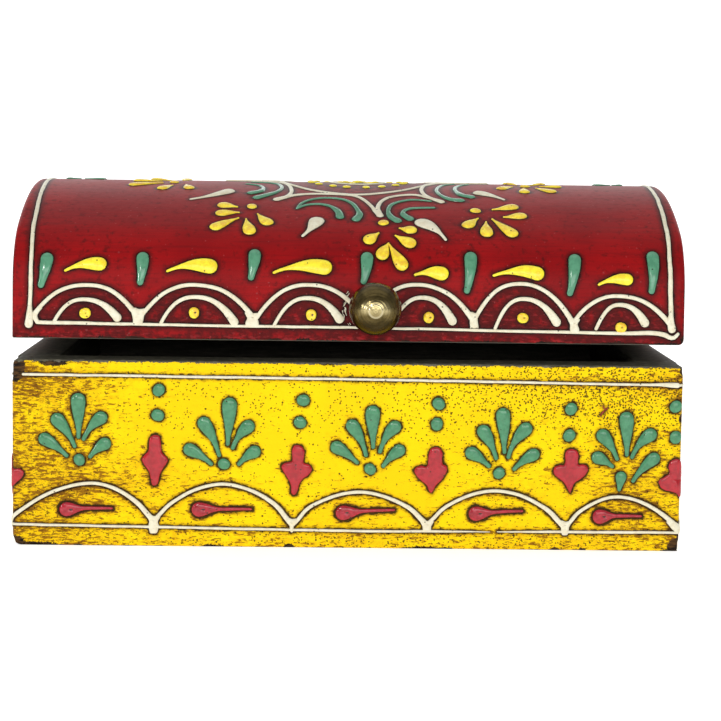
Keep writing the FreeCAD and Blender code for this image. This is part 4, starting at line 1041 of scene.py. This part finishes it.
def brass(name, rings, tilt_center=None):
    """Antiqued brass: brown in the hollows, lathe rings on turned pieces; on the turned knob, painted shade on the
    lower half and the top, and painted highlights on the middle band, the button and its lip.
    """
    g = Graph(name)
    mm = g.coords((1000, 1000, 1000))
    n1 = g.noise(mm, 0.45, 4.0, 0.6)
    n2 = g.noise(mm, 2.4, 3.0, 0.6)
    color = g.mix(g.step(n1, 0.32, 0.70), lin(122, 106, 66), lin(88, 76, 44))
    color = g.mix(g.math("MULTIPLY", g.step(n2, 0.52, 0.74), 0.6), color, lin(52, 44, 26))
    h = n2
    if rings:
        cx, cz = tilt_center
        v = g.coords((1000, 1000, 1000), (-cx, 0, -cz))
        sep = g.t.nodes.new("ShaderNodeSeparateXYZ")
        g.t.links.new(v, sep.inputs[0])
        r = g.math("SQRT", g.math("ADD", g.math("MULTIPLY", sep.outputs[0], sep.outputs[0]),
                                  g.math("MULTIPLY", sep.outputs[2], sep.outputs[2])))
        wave = g.math("SINE", g.math("ADD", g.math("MULTIPLY", r, 9.5), g.math("MULTIPLY", n1, 2.0)))
        wave2 = g.math("SINE", g.math("MULTIPLY", r, 23.0))
        both_w = g.math("ADD", g.math("MULTIPLY", wave, 0.5), g.math("MULTIPLY", wave2, 0.25))
        # the button and its lip: the lighter button and the pale lip ring are painted highlights; the button mask also
        # raises the button in the bump
        button = g.step(r, 1.55, 1.25)
        lip_highlight = g.math("MULTIPLY", g.step(r, 1.15, 1.40), g.step(r, 1.75, 1.50))
        # painted shade: the lower half of the knob is darkened
        lower_half_shade = g.step(sep.outputs[2], -0.6, -3.4)
        color = g.mix(g.math("MULTIPLY", lower_half_shade, 0.80), color, lin(34, 28, 15))
        # painted shade: the top of the knob is darkened
        upper = g.step(sep.outputs[2], 2.2, 4.6)
        color = g.mix(g.math("MULTIPLY", upper, 0.45), color, lin(44, 38, 22))
        # painted highlight: a pale band across the middle of the knob
        middle_highlight = g.math("MULTIPLY", g.step(g.math("ABSOLUTE", g.math("SUBTRACT", sep.outputs[2], 0.7)), 2.0, 0.3), g.step(r, 3.9, 2.2))
        color = g.mix(g.math("MULTIPLY", middle_highlight, 0.85), color, lin(206, 190, 140))
        color = g.mix(g.math("MULTIPLY", button, 0.45), color, lin(176, 160, 112))
        color = g.mix(g.math("MULTIPLY", lip_highlight, 0.6), color, lin(236, 224, 184))
        color = g.mix(g.math("MULTIPLY", g.step(both_w, 0.1, 0.75), 0.42), color, lin(48, 42, 24))
        h = g.math("ADD", both_w, g.math("ADD", g.math("MULTIPLY", n2, 0.6), g.math("MULTIPLY", button, 2.0)))
    rough = g.math("ADD", 0.14, g.math("MULTIPLY", n1, 0.18))
    return g.done(color, rough, g.bump(h, 0.30, 0.00007), Metallic=1.0)


def steel(name):
    g = Graph(name)
    mm = g.coords((1000, 1000, 1000))
    n1 = g.noise(mm, 1.1, 4.0, 0.6)
    color = g.mix(g.step(n1, 0.3, 0.7), lin(176, 176, 178), lin(120, 118, 116))
    rough = g.math("ADD", 0.24, g.math("MULTIPLY", n1, 0.25))
    return g.done(color, rough, g.bump(n1, 0.15, 0.00004), Metallic=1.0)


def plain_black(name):
    """Matt black paint over board, with the grain just showing."""
    g = Graph(name)
    grain = g.coords((1000 * 0.04, 1000 * 1.0, 1000 * 1.0))
    mm = g.coords((1000, 1000, 1000))
    n1 = g.noise(grain, 1.0, 5.0, 0.6, 0.5)
    n2 = g.noise(mm, 1.6, 3.0, 0.6)
    color = g.mix(g.step(n1, 0.4, 0.72), lin(22, 22, 21), lin(40, 40, 38))
    color = g.mix(g.math("MULTIPLY", g.step(n2, 0.68, 0.80), 0.4), color, lin(84, 78, 66))
    return g.done(color, g.math("ADD", 0.55, g.math("MULTIPLY", n2, 0.2)), g.bump(n1, 0.3, 0.0001))


YELLOW = board_paint("yellow_board_paint", False)
RED = board_paint("red_board_paint", True)
CREAM = bead_paint("cream_bead_paint", lin(230, 226, 202), lin(220, 211, 182), 0.30)
GREEN = bead_paint("green_bead_paint", lin(75, 141, 101), lin(61, 124, 87), 0.09)
MINT = bead_paint("mint_bead_paint", lin(88, 150, 117), lin(74, 134, 103), 0.09)
PINK = bead_paint("pink_bead_paint", lin(180, 28, 41), lin(154, 20, 31), 0.10)
RUBY = bead_paint("ruby_bead_paint", lin(176, 34, 51), lin(146, 23, 36), 0.08)
LEMON = bead_paint("lemon_bead_paint", lin(252, 236, 52), lin(240, 212, 44), 0.20)
GOLD = bead_paint("gold_bead_paint", lin(252, 229, 53), lin(233, 187, 45), 0.20)
BLACK = plain_black("black_board_paint")
BRASS = brass("antique_brass_plate", False)
KNOB_Z = HINGE_Z - (LID_FRONT - 6.0) * math.sin(AJAR) + (GAP + 7.75) * math.cos(AJAR)
KNOB = brass("antique_brass_turned", True, (5.7, KNOB_Z))
STEEL = steel("bright_steel")

# ---------------------------------------------------------- base boards, seen
base_strokes = cream_b + green_b + pink_b + red_b
CHIPS = [(-75.4, 40.6, 2.5, 3.4), (-66.4, 41.9, 3.4, 0.9), (-71.0, 0.1, 6.0, 0.8), (-76.0, 0.6, 3.0, 1.7),
         (-30.6, 0.1, 2.7, 0.5), (17.8, 0.1, 5.0, 0.55), (75.4, 0.9, 2.2, 2.2), (-5.0, 42.3, 2.6, 0.5),
         (48.0, 42.3, 3.0, 0.4), (76.2, 41.6, 1.2, 1.4), (112.0, 42.2, 3.0, 0.7), (150.0, 0.2, 5.0, 0.7),
         (176.6, 40.4, 1.6, 2.2), (205.0, 0.2, 4.0, 0.6), (235.0, 42.1, 3.4, 0.6), (-230.0, 0.2, 5.0, 0.7),
         (-177.0, 41.0, 1.6, 1.8), (-150.0, 42.2, 2.8, 0.6), (-118.0, 0.2, 4.4, 0.7), (-176.8, 1.2, 1.8, 2.4)]


def under_scallop(u, v):
    m = np.zeros(len(u))
    for (x0, y0), (xp, yp), (x1, y1) in scallops_all:
        for shift in (-PER, 0.0, PER):
            a = u - shift
            i = (a > x0) & (a < x1) & (v > 3.9)
            tp = (xp - x0) / (x1 - x0)
            t = (a[i] - x0) / (x1 - x0)
            w = np.where(t < tp, 0.5 * t / tp, 0.5 + 0.5 * (t - tp) / (1 - tp))
            yb = np.where(t < tp, y0, y1)
            top = yb + (yp - yb) * (1 - np.abs(2 * w - 1) ** 1.9)
            k = np.zeros(len(a[i]))
            k[v[i] < top] = 1.0
            m[i] = np.maximum(m[i], k)
    return m


def blob(u, v, cu, cv, ru, rv):
    return np.exp(-((u - cu) / ru) ** 2 - ((v - cv) / rv) ** 2)


def base_board(name, node, lo, hi, step, outer_axis, outer_sign):
    """One painted board. outer_axis and outer_sign say which face shows."""
    lo, hi = np.array(lo, float), np.array(hi, float)
    long_board = outer_axis == 1
    re = 0.55
    xs = axis_lines(lo[0], hi[0], step if long_board else 1.3, RC if long_board else re, RC if long_board else re)
    if long_board:
        r_out, r_in = RC, re
        ys = axis_lines(lo[1], hi[1], 1.3, r_out if outer_sign < 0 else r_in, r_in if outer_sign < 0 else r_out)
    else:
        ys = axis_lines(lo[1], hi[1], step, 0.3, 0.3)
    zs = axis_lines(lo[2], hi[2], step, re, re)
    p, q, _ = box_grid(xs, ys, zs)
    flat = p.copy()
    oa = outer_axis
    vo = hi[oa] if outer_sign > 0 else lo[oa]
    vi = lo[oa] if outer_sign > 0 else hi[oa]
    for zz, sz in ((hi[2], 1), (lo[2], -1)):
        round_edge(p, oa, vo, outer_sign, 2, zz, sz, re)
        if long_board:
            round_edge(p, 0, hi[0], 1, 2, zz, sz, 0.9)
            round_edge(p, 0, lo[0], -1, 2, zz, sz, 1.5 if sz > 0 else 2.3)
        if sz > 0:
            round_edge(p, oa, vi, -outer_sign, 2, zz, sz, re)
    if long_board:
        round_edge(p, 0, hi[0], 1, 1, vo, outer_sign, RC)
        round_edge(p, 0, lo[0], -1, 1, vo, outer_sign, RC)
    # which points are on the painted outside
    if long_board:
        outside = (np.abs(flat[:, 1] - vo) < 1e-6) | (np.abs(np.abs(flat[:, 0]) - HX) < 1e-6)
    else:
        outside = np.abs(flat[:, 0] - vo) < 1e-6
    u = base_u(p)
    v = p[:, 2].copy()
    uv = np.stack([u, v], -1)
    dist = np.full(len(p), 6.0)
    dist[outside] = field(base_strokes, uv[outside], PER)
    n_w = fnoise(p, 9.0, 3)
    g = 0.10 + 0.36 * (n_w - 0.5)
    und_s = under_scallop(u, v)
    g = g + 0.07 * und_s + 0.26 * und_s * np.exp(-np.clip(dist, 0, 6) / 0.8) + 0.34 * (v < 4.0)
    for (sx, sz), _, _, _ in stems:
        g = g + 0.45 * blob(u, v, sx + 0.2, sz + 4.2, 1.5, 1.1)
    g = g + 0.72 * blob(u, v, -77, 18, 25, 17) + 0.5 * blob(u, v, -73.5, 40, 4, 3) + 0.55 * blob(u, v, -68, 36, 16, 5) + 0.30 * blob(u, v, -52, 15, 15, 5)
    g = g + 0.26 * blob(u, v, -20, 15, 22, 3)
    g = g + 0.34 * blob(u, v, 70, 12, 12, 9) + 0.55 * blob(u, v, 72, 38, 24, 4.5) + 0.36 * blob(u, v, 62, 20, 20, 10)
    g = g + 0.22 * blob(u, v, 45, 15, 30, 4)
    for c in (110, 176, 215, -215, -176, -120, -95):
        g = g + 0.34 * blob(u, v, c, 18 + 12 * math.sin(c), 14, 12)
    edge = np.minimum(v, ZB - v)
    g = g + 0.30 * np.exp(-edge / 1.6)
    corner = np.minimum.reduce([np.abs(np.abs(u) - k) for k in (U1 + QA / 2, U3 + QA / 2)])
    g = g + 0.25 * np.exp(-corner / 3.0)
    sp = 0.08 * fnoise(p, 12.0, 21)
    sp = sp + 0.75 * blob(u, v, 46, 37, 28, 6) + 0.60 * blob(u, v, 66, 33, 15, 9) + 0.08 * blob(u, v, -30, 33, 30, 8)
    sp = sp + 0.25 * blob(u, v, 20, 2, 60, 2.5) + 0.16 * blob(u, v, 14, 32, 24, 9)
    chip = np.full(len(p), -3.0)
    for cu, cv, ru, rv in CHIPS:
        chip = np.maximum(chip, (1 - np.sqrt(((u - cu) / ru) ** 2 + ((v - cv) / rv) ** 2)) * min(ru, rv))
    nick = fnoise(p, 3.4, 44)
    chip = np.maximum(chip, np.where(edge < 3, 0.9 * (nick - 0.66) * 6 - edge * 1.1, -3.0))
    chip = np.maximum(chip, 0.8 * (fnoise(p, 2.8, 45) - 0.70) * 6 - corner * 1.0)
    black = np.where(outside, v - (ZB - 0.42), 3.0)
    black = np.where(outside & (v < 0.12), 2.0, black)
    black = np.where(~outside & (flat[:, 2] < ZB - 0.9), 5.0, black)
    # worn and chipped edges give way a little
    wear = np.clip(chip, 0, 0.7) * 0.30 + 0.08 * np.exp(-np.minimum(edge, corner) / 0.7) * fnoise(p, 1.6, 9)
    wear = np.where(outside, wear, 0.0)
    ref = base_at(u, v, -1.0)
    inward = ref - p
    inward[:, 2] = 0
    ln = np.linalg.norm(inward, axis=1)
    inward = inward / np.maximum(ln, 1e-6)[:, None]
    joint = np.zeros(len(p), bool)
    if not long_board:
        joint = (np.abs(flat[:, 1] - lo[1]) < 0.5) | (np.abs(flat[:, 1] - hi[1]) < 0.5)
    else:
        joint = np.abs(flat[:, 1] - vi) < 0.8
    p = p + inward * np.where(joint, 0.0, wear)[:, None]
    und = 0.05 * (fnoise(p, 7.0, 77) - 0.5)
    p = p + inward * np.where(outside & ~joint & (edge > 1.2), und + 0.02, 0.0)[:, None]
    # the rebate that takes the bottom panel
    lap = (np.abs(flat[:, 0]) < HX - WALL + 4.01) & (np.abs(flat[:, 1]) < HY - WALL + 4.01) & (flat[:, 2] < 3.97)
    p[lap, 2] = 3.97 + 0.005 * flat[lap, 2]
    ob = make_mesh(name, p, q, {"dist": np.clip(dist, -1, 6), "grime": np.clip(g, 0, 1), "speck": np.clip(sp, 0, 1),
                                "chip": chip, "black": black})
    ob.data.materials.append(YELLOW)
    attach(ob, "base")
    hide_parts(node)
    return ob


base_board("front_board", "base_front_wall", (-HX, -HY, 0), (HX, -HY + WALL, ZB), 0.5, 1, -1)
base_board("back_board", "base_back_wall", (-HX, HY - WALL, 0), (HX, HY, ZB), 0.55, 1, 1)
base_board("left_board", "base_left_wall", (-HX, -HY + WALL, 0), (-HX + WALL, HY - WALL, ZB), 0.5, 0, -1)
base_board("right_board", "base_right_wall", (HX - WALL, -HY + WALL, 0), (HX, HY - WALL, ZB), 0.5, 0, 1)

relief("base_cream_lines", [(cream_b, base_at)], CREAM, "base")
relief("base_green_drops", [(green_b, base_at)], GREEN, "base")
relief("base_pink_spades", [(pink_b, base_at)], PINK, "base")
relief("base_red_drops", [(red_b, base_at)], RUBY, "base")

# ------------------------------------------------------------------ lid, seen
lid_strokes = cream_l + green_l + yellow_l + gold_l


def inner_profile(s):
    """The inside of the lid section that faces the outside at s."""
    y, z, ny, nz = lid_profile(s, SHELL)
    m = s <= S1
    k = s[m] / S1
    bend = 12.0 / 17.5
    y[m] = np.where(k <= bend, LID_FRONT + WALL, LID_FRONT + WALL - 5.5 * (k - bend) / (1 - bend))
    z[m] = np.where(k <= bend, GAP + SPRING * k / bend, Z0)
    m = s >= S4
    k = (S5 - s[m]) / S1
    y[m] = np.where(k <= bend, LID_BACK - WALL, LID_BACK - WALL + 5.5 * (k - bend) / (1 - bend))
    z[m] = np.where(k <= bend, GAP + SPRING * k / bend, Z0)
    return y, z


def lid_vault():
    xs = axis_lines(-HX, HX, 0.8, 1.3, 1.3)
    ts = axis_lines(0.0, S5, 0.72, 0.8, 0.8)
    extra = np.array([SPRING * 12.0 / 17.5, S5 - SPRING * 12.0 / 17.5, S1, S4])
    for e in extra:
        ts[np.argmin(np.abs(ts - e))] = e
    ds = np.array([0.0, 0.2, 0.45, 0.8, 1.3, 2.0])
    p, q, ijk = box_grid(xs, ts, ds)
    flat = p.copy()
    for vx, sx in ((HX, 1), (-HX, -1)):
        round_edge(p, 0, vx, sx, 2, 0.0, -1, 1.2)
    for vt, st in ((0.0, -1), (S5, 1)):
        round_edge(p, 1, vt, st, 2, 0.0, -1, 0.5)
        round_edge(p, 0, HX, 1, 1, vt, st, 1.6)
        round_edge(p, 0, -HX, -1, 1, vt, st, 0.5)
    outside = flat[:, 2] < 1e-6
    end_face = np.abs(np.abs(flat[:, 0]) - HX) < 1e-6
    under = (flat[:, 1] < 1e-6) | (flat[:, 1] > S5 - 1e-6)
    x, s, d = p[:, 0], np.clip(p[:, 1], 0, S5), p[:, 2]
    y, z, ny, nz = lid_profile(s)
    iy, iz = inner_profile(s)
    k = np.clip((d - 1.3) / 0.7, 0, 1)
    py = np.where(d > 1.3, (y - ny * 1.3) * (1 - k) + iy * k, y - ny * d)
    pz = np.where(d > 1.3, (z - nz * 1.3) * (1 - k) + iz * k, z - nz * d)
    uv = np.stack([x, s], -1)
    key = np.stack([x, py, pz], -1)
    dist = np.full(len(p), 6.0)
    dist[outside] = field(lid_strokes, uv[outside])
    edge = np.minimum(np.minimum(s, S5 - s), HX - np.abs(x))
    low = np.minimum(s, S5 - s)
    g = 0.22 + 0.35 * (fnoise(key, 11.0, 3) - 0.5)
    for (x0, y0), (xp, yp), (x1, y1) in OUTER:
        m = (x > x0) & (x < x1)
        t = np.clip((x - x0) / (x1 - x0), 0, 1)
        tp = (xp - x0) / (x1 - x0)
        w = np.where(t < tp, 0.5 * t / tp, 0.5 + 0.5 * (t - tp) / (1 - tp))
        yb = np.where(t < tp, y0, y1)
        top = yb + (yp - yb) * (1 - np.abs(2 * w - 1) ** 2.4)
        g = g + np.where(m & (low < top) & (low > 3.0), 0.52, 0.0)
    g = g + 0.75 * np.exp(-low / 2.6) + 0.25 * np.exp(-edge / 2.0)
    rr = np.hypot(x - CX, s - CS)
    g = g + np.where(rr < RING, 0.55, 0.0)
    sp = 0.03 * fnoise(key, 13.0, 21)
    nick = fnoise(key, 3.2, 44)
    chip = (nick - 0.70) * 5.0 - edge * 1.1
    for cx, cs, rx, rs in ((-70.0, 0.1, 3.5, 0.45), (-30.0, 0.0, 5.0, 0.4), (30.0, 0.1, 7.0, 0.45), (62.0, 0.1, 9.0, 0.35),
                           (75.7, 1.0, 0.7, 1.3), (75.9, 11.0, 0.25, 3.0), (-75.9, 14.0, 0.25, 5.0)):
        chip = np.maximum(chip, (1 - np.sqrt(((x - cx) / rx) ** 2 + ((s - cs) / rs) ** 2)) * min(rx, rs))
    inside = ~(outside | end_face) | under
    black = np.where(inside, 5.0, -3.0)
    chip = np.maximum(chip, np.where(outside & (low < 1.4), 0.22 - low * 0.8 + 2.0 * (nick - 0.55), -3.0))
    wear = np.where(outside, np.clip(chip, 0, 0.5) * 0.3 + 0.10 * np.exp(-edge / 0.8) * fnoise(key, 1.8, 9), 0.0)
    und = np.where(outside & (edge > 1.5), 0.06 * (fnoise(key, 8.0, 71) - 0.5) + 0.03, 0.0)
    py, pz = py - ny * (wear + und), pz - nz * (wear + und)
    w = lid_pose(np.stack([x, py, pz], -1))
    ob = make_mesh("lid_vault", w, q, {"dist": np.clip(dist, -1, 6), "grime": np.clip(g, 0, 1),
                                       "speck": np.clip(sp, 0, 1), "chip": chip, "black": black})
    ob.data.materials.append(RED)
    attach(ob, "lid")
    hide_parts("lid_vault_shell", "lid_front_rail", "lid_back_rail")
    return ob


def inner_top(y):
    """Height of the arch of the ends at y, from the shut lid's underside."""
    a = np.abs(np.asarray(y, float) - LID_MID)
    r1, r2, h = HAUNCH - SHELL, CROWN - SHELL, HY - SHELL
    ty = r2 * math.cos(LEAN)
    top = ZC + np.sqrt(np.maximum(r2 ** 2 - np.minimum(a, ty) ** 2, 0))
    hz = Z0 + np.sqrt(np.maximum(r1 ** 2 - np.clip(a - (h - r1), 0, r1) ** 2, 0))
    return np.where(a <= ty, top, hz)


def lid_end(name, node, side, e):
    vs, qs, at_d, at_g, at_b, at_c, n = [], [], [], [], [], [], 0
    strokes = ends_c[e] + ends_g[e] + ends_y[e]
    for y0, y1, z0 in ((LID_FRONT + SHELL, LID_FRONT + WALL, Z0), (LID_FRONT + WALL, LID_BACK - WALL, GAP),
                       (LID_BACK - WALL, LID_BACK - SHELL, Z0)):
        xs = np.array([HX - WALL, HX - WALL / 2, HX]) if side > 0 else np.array([-HX, -HX + WALL / 2, -HX + WALL])
        ny_ = max(7, int((y1 - y0) / 0.6))
        ys = np.linspace(y0, y1, ny_)
        bs = np.linspace(0, 1, 58)
        p, q, _ = box_grid(xs, ys, bs)
        top = inner_top(p[:, 1])
        z = z0 + (top - z0) * p[:, 2]
        face = np.abs(np.abs(p[:, 0]) - HX) < 1e-6
        uv = np.stack([side * (p[:, 1] - LID_MID), z - GAP], -1)
        dist = np.full(len(p), 6.0)
        dist[face] = field(strokes, uv[face])
        key = np.stack([p[:, 0], p[:, 1], z], -1)
        vs.append(lid_pose(np.stack([p[:, 0], p[:, 1], z], -1)))
        qs.append(q + n)
        n += len(p)
        at_d.append(dist)
        low = z - GAP
        at_g.append(0.24 + 0.35 * (fnoise(key, 11.0, 3) - 0.5) + 0.4 * np.exp(-low / 2.5))
        at_b.append(np.where(face, -3.0, 5.0))
        at_c.append((fnoise(key, 3.2, 44) - 0.70) * 5.0 - low * 1.1)
    d, g, b, c = (np.concatenate(k) for k in (at_d, at_g, at_b, at_c))
    ob = make_mesh(name, np.vstack(vs), np.vstack(qs), {
        "dist": np.clip(d, -1, 6), "grime": np.clip(g, 0, 1), "speck": np.full(len(d), 0.03), "chip": c, "black": b},
        smooth_faces=False)
    ob.data.materials.append(RED)
    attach(ob, "lid")
    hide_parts(node)


lid_vault()
lid_end("lid_left_arch", "lid_left_end", -1, 0)
lid_end("lid_right_arch", "lid_right_end", 1, 1)
relief("lid_cream_lines", [(cream_l, lid_at), (ends_c[0], end_at(-1)), (ends_c[1], end_at(1))], CREAM, "lid")
relief("lid_gold_petals", [(gold_l, lid_at)], GOLD, "lid")
relief("lid_green_drops", [(green_l, lid_at), (ends_g[0], end_at(-1)), (ends_g[1], end_at(1))], MINT, "lid")
relief("lid_lemon_drops", [(yellow_l, lid_at), (ends_y[0], end_at(-1)), (ends_y[1], end_at(1))], LEMON, "lid")

# ------------------------------------------------------------- carried nodes
LOOK = {"base_bottom_panel": BLACK, "brass_knob": KNOB, "knob_screw": STEEL, "knob_washer": STEEL,
        "base_corner_nails": STEEL, "base_bottom_brads": STEEL, "lid_rail_nails": STEEL, "lid_arch_brads": STEEL}
for name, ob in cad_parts.items():
    mat = LOOK.get(name, BRASS)
    ob.data.materials.clear()
    ob.data.materials.append(mat)

# --------------------------------------------------------------------- stage
scene = bpy.context.scene
fm = Graph("pale_floor")
fv = fm.coords((1, 1, 1))
fn = fm.noise(fv, 30.0, 3.0, 0.5)
fm.done(fm.mix(fm.step(fn, 0.3, 0.7), lin(246, 246, 246), lin(250, 250, 250)), 0.6, Emission_Color=(1.0, 1.0, 1.0, 1.0), Emission_Strength=0.55)
me = bpy.data.meshes.new("floor")
prof = [(-9.0, 0.0), (0.6, 0.0)] + [(0.6 + 0.5 * math.sin(a), 0.5 - 0.5 * math.cos(a)) for a in np.linspace(0.1, math.pi / 2, 14)] + [(1.1, 0.9)]
fvs = [(sx * 9.0, y, z) for y, z in prof for sx in (-1, 1)]
ffs = [(2 * i, 2 * i + 1, 2 * i + 3, 2 * i + 2) for i in range(len(prof) - 1)]
me.from_pydata(fvs, [], ffs)
me.polygons.foreach_set("use_smooth", [True] * len(ffs))
floor = bpy.data.objects.new("floor", me)
scene.collection.objects.link(floor)
me.materials.append(fm.mat)

world = bpy.data.worlds.new("studio")
scene.world = world
world.use_nodes = True
bg = world.node_tree.nodes["Background"]
bg.inputs["Color"].default_value = (1.0, 1.0, 1.0, 1.0)
bg.inputs["Strength"].default_value = 0.36


def area(name, loc, look, size, power, color=(1, 1, 1)):
    li = bpy.data.lights.new(name, "AREA")
    li.shape = "RECTANGLE"
    li.size, li.size_y = size
    li.energy = power
    li.color = color
    ob = bpy.data.objects.new(name, li)
    scene.collection.objects.link(ob)
    ob.location = loc
    ob.rotation_mode = "QUATERNION"
    ob.rotation_quaternion = (Vector(look) - Vector(loc)).to_track_quat("-Z", "Y")


area("key", (-0.45, -1.05, 0.55), (0, 0, 0.04), (0.10, 0.10), 2.1, (1.0, 0.98, 0.95))
area("front", (0.25, -1.70, 0.45), (0, 0, 0.04), (1.3, 0.5), 7.7)
area("top", (0.0, 0.15, 1.30), (0, 0, 0.05), (2.0, 1.4), 5.4)
area("glint", (-0.95, -0.78, 0.27), (0, -0.06, 0.05), (0.07, 0.07), 1.7)

# -------------------------------------------------------------------- camera
pit, rol, yaw = math.radians(5.912), math.radians(0.746), math.radians(0.891)
right0 = Vector((math.cos(yaw), -math.sin(yaw), 0))
fwd = Vector((math.sin(yaw) * math.cos(pit), math.cos(yaw) * math.cos(pit), -math.sin(pit)))
up0 = Vector((math.sin(yaw) * math.sin(pit), math.cos(yaw) * math.sin(pit), math.cos(pit)))
right = right0 * math.cos(rol) + up0 * math.sin(rol)
up = up0 * math.cos(rol) - right0 * math.sin(rol)
cam_data = bpy.data.cameras.new("camera")
cam = bpy.data.objects.new("camera", cam_data)
scene.collection.objects.link(cam)
cam_data.sensor_width = 36.0
cam_data.lens = 2123.2 * 36.0 / 721.0
cam_data.clip_start, cam_data.clip_end = 0.01, 20.0
m = Matrix((right, up, -fwd)).transposed().to_4x4()
m.translation = Vector((-4.74 * MM, -528.13 * MM, 92.48 * MM))
cam.matrix_world = m
scene.camera = cam
scene.view_settings.view_transform = "Standard"
scene.view_settings.exposure = 0.0

bpy.context.view_layer.update()
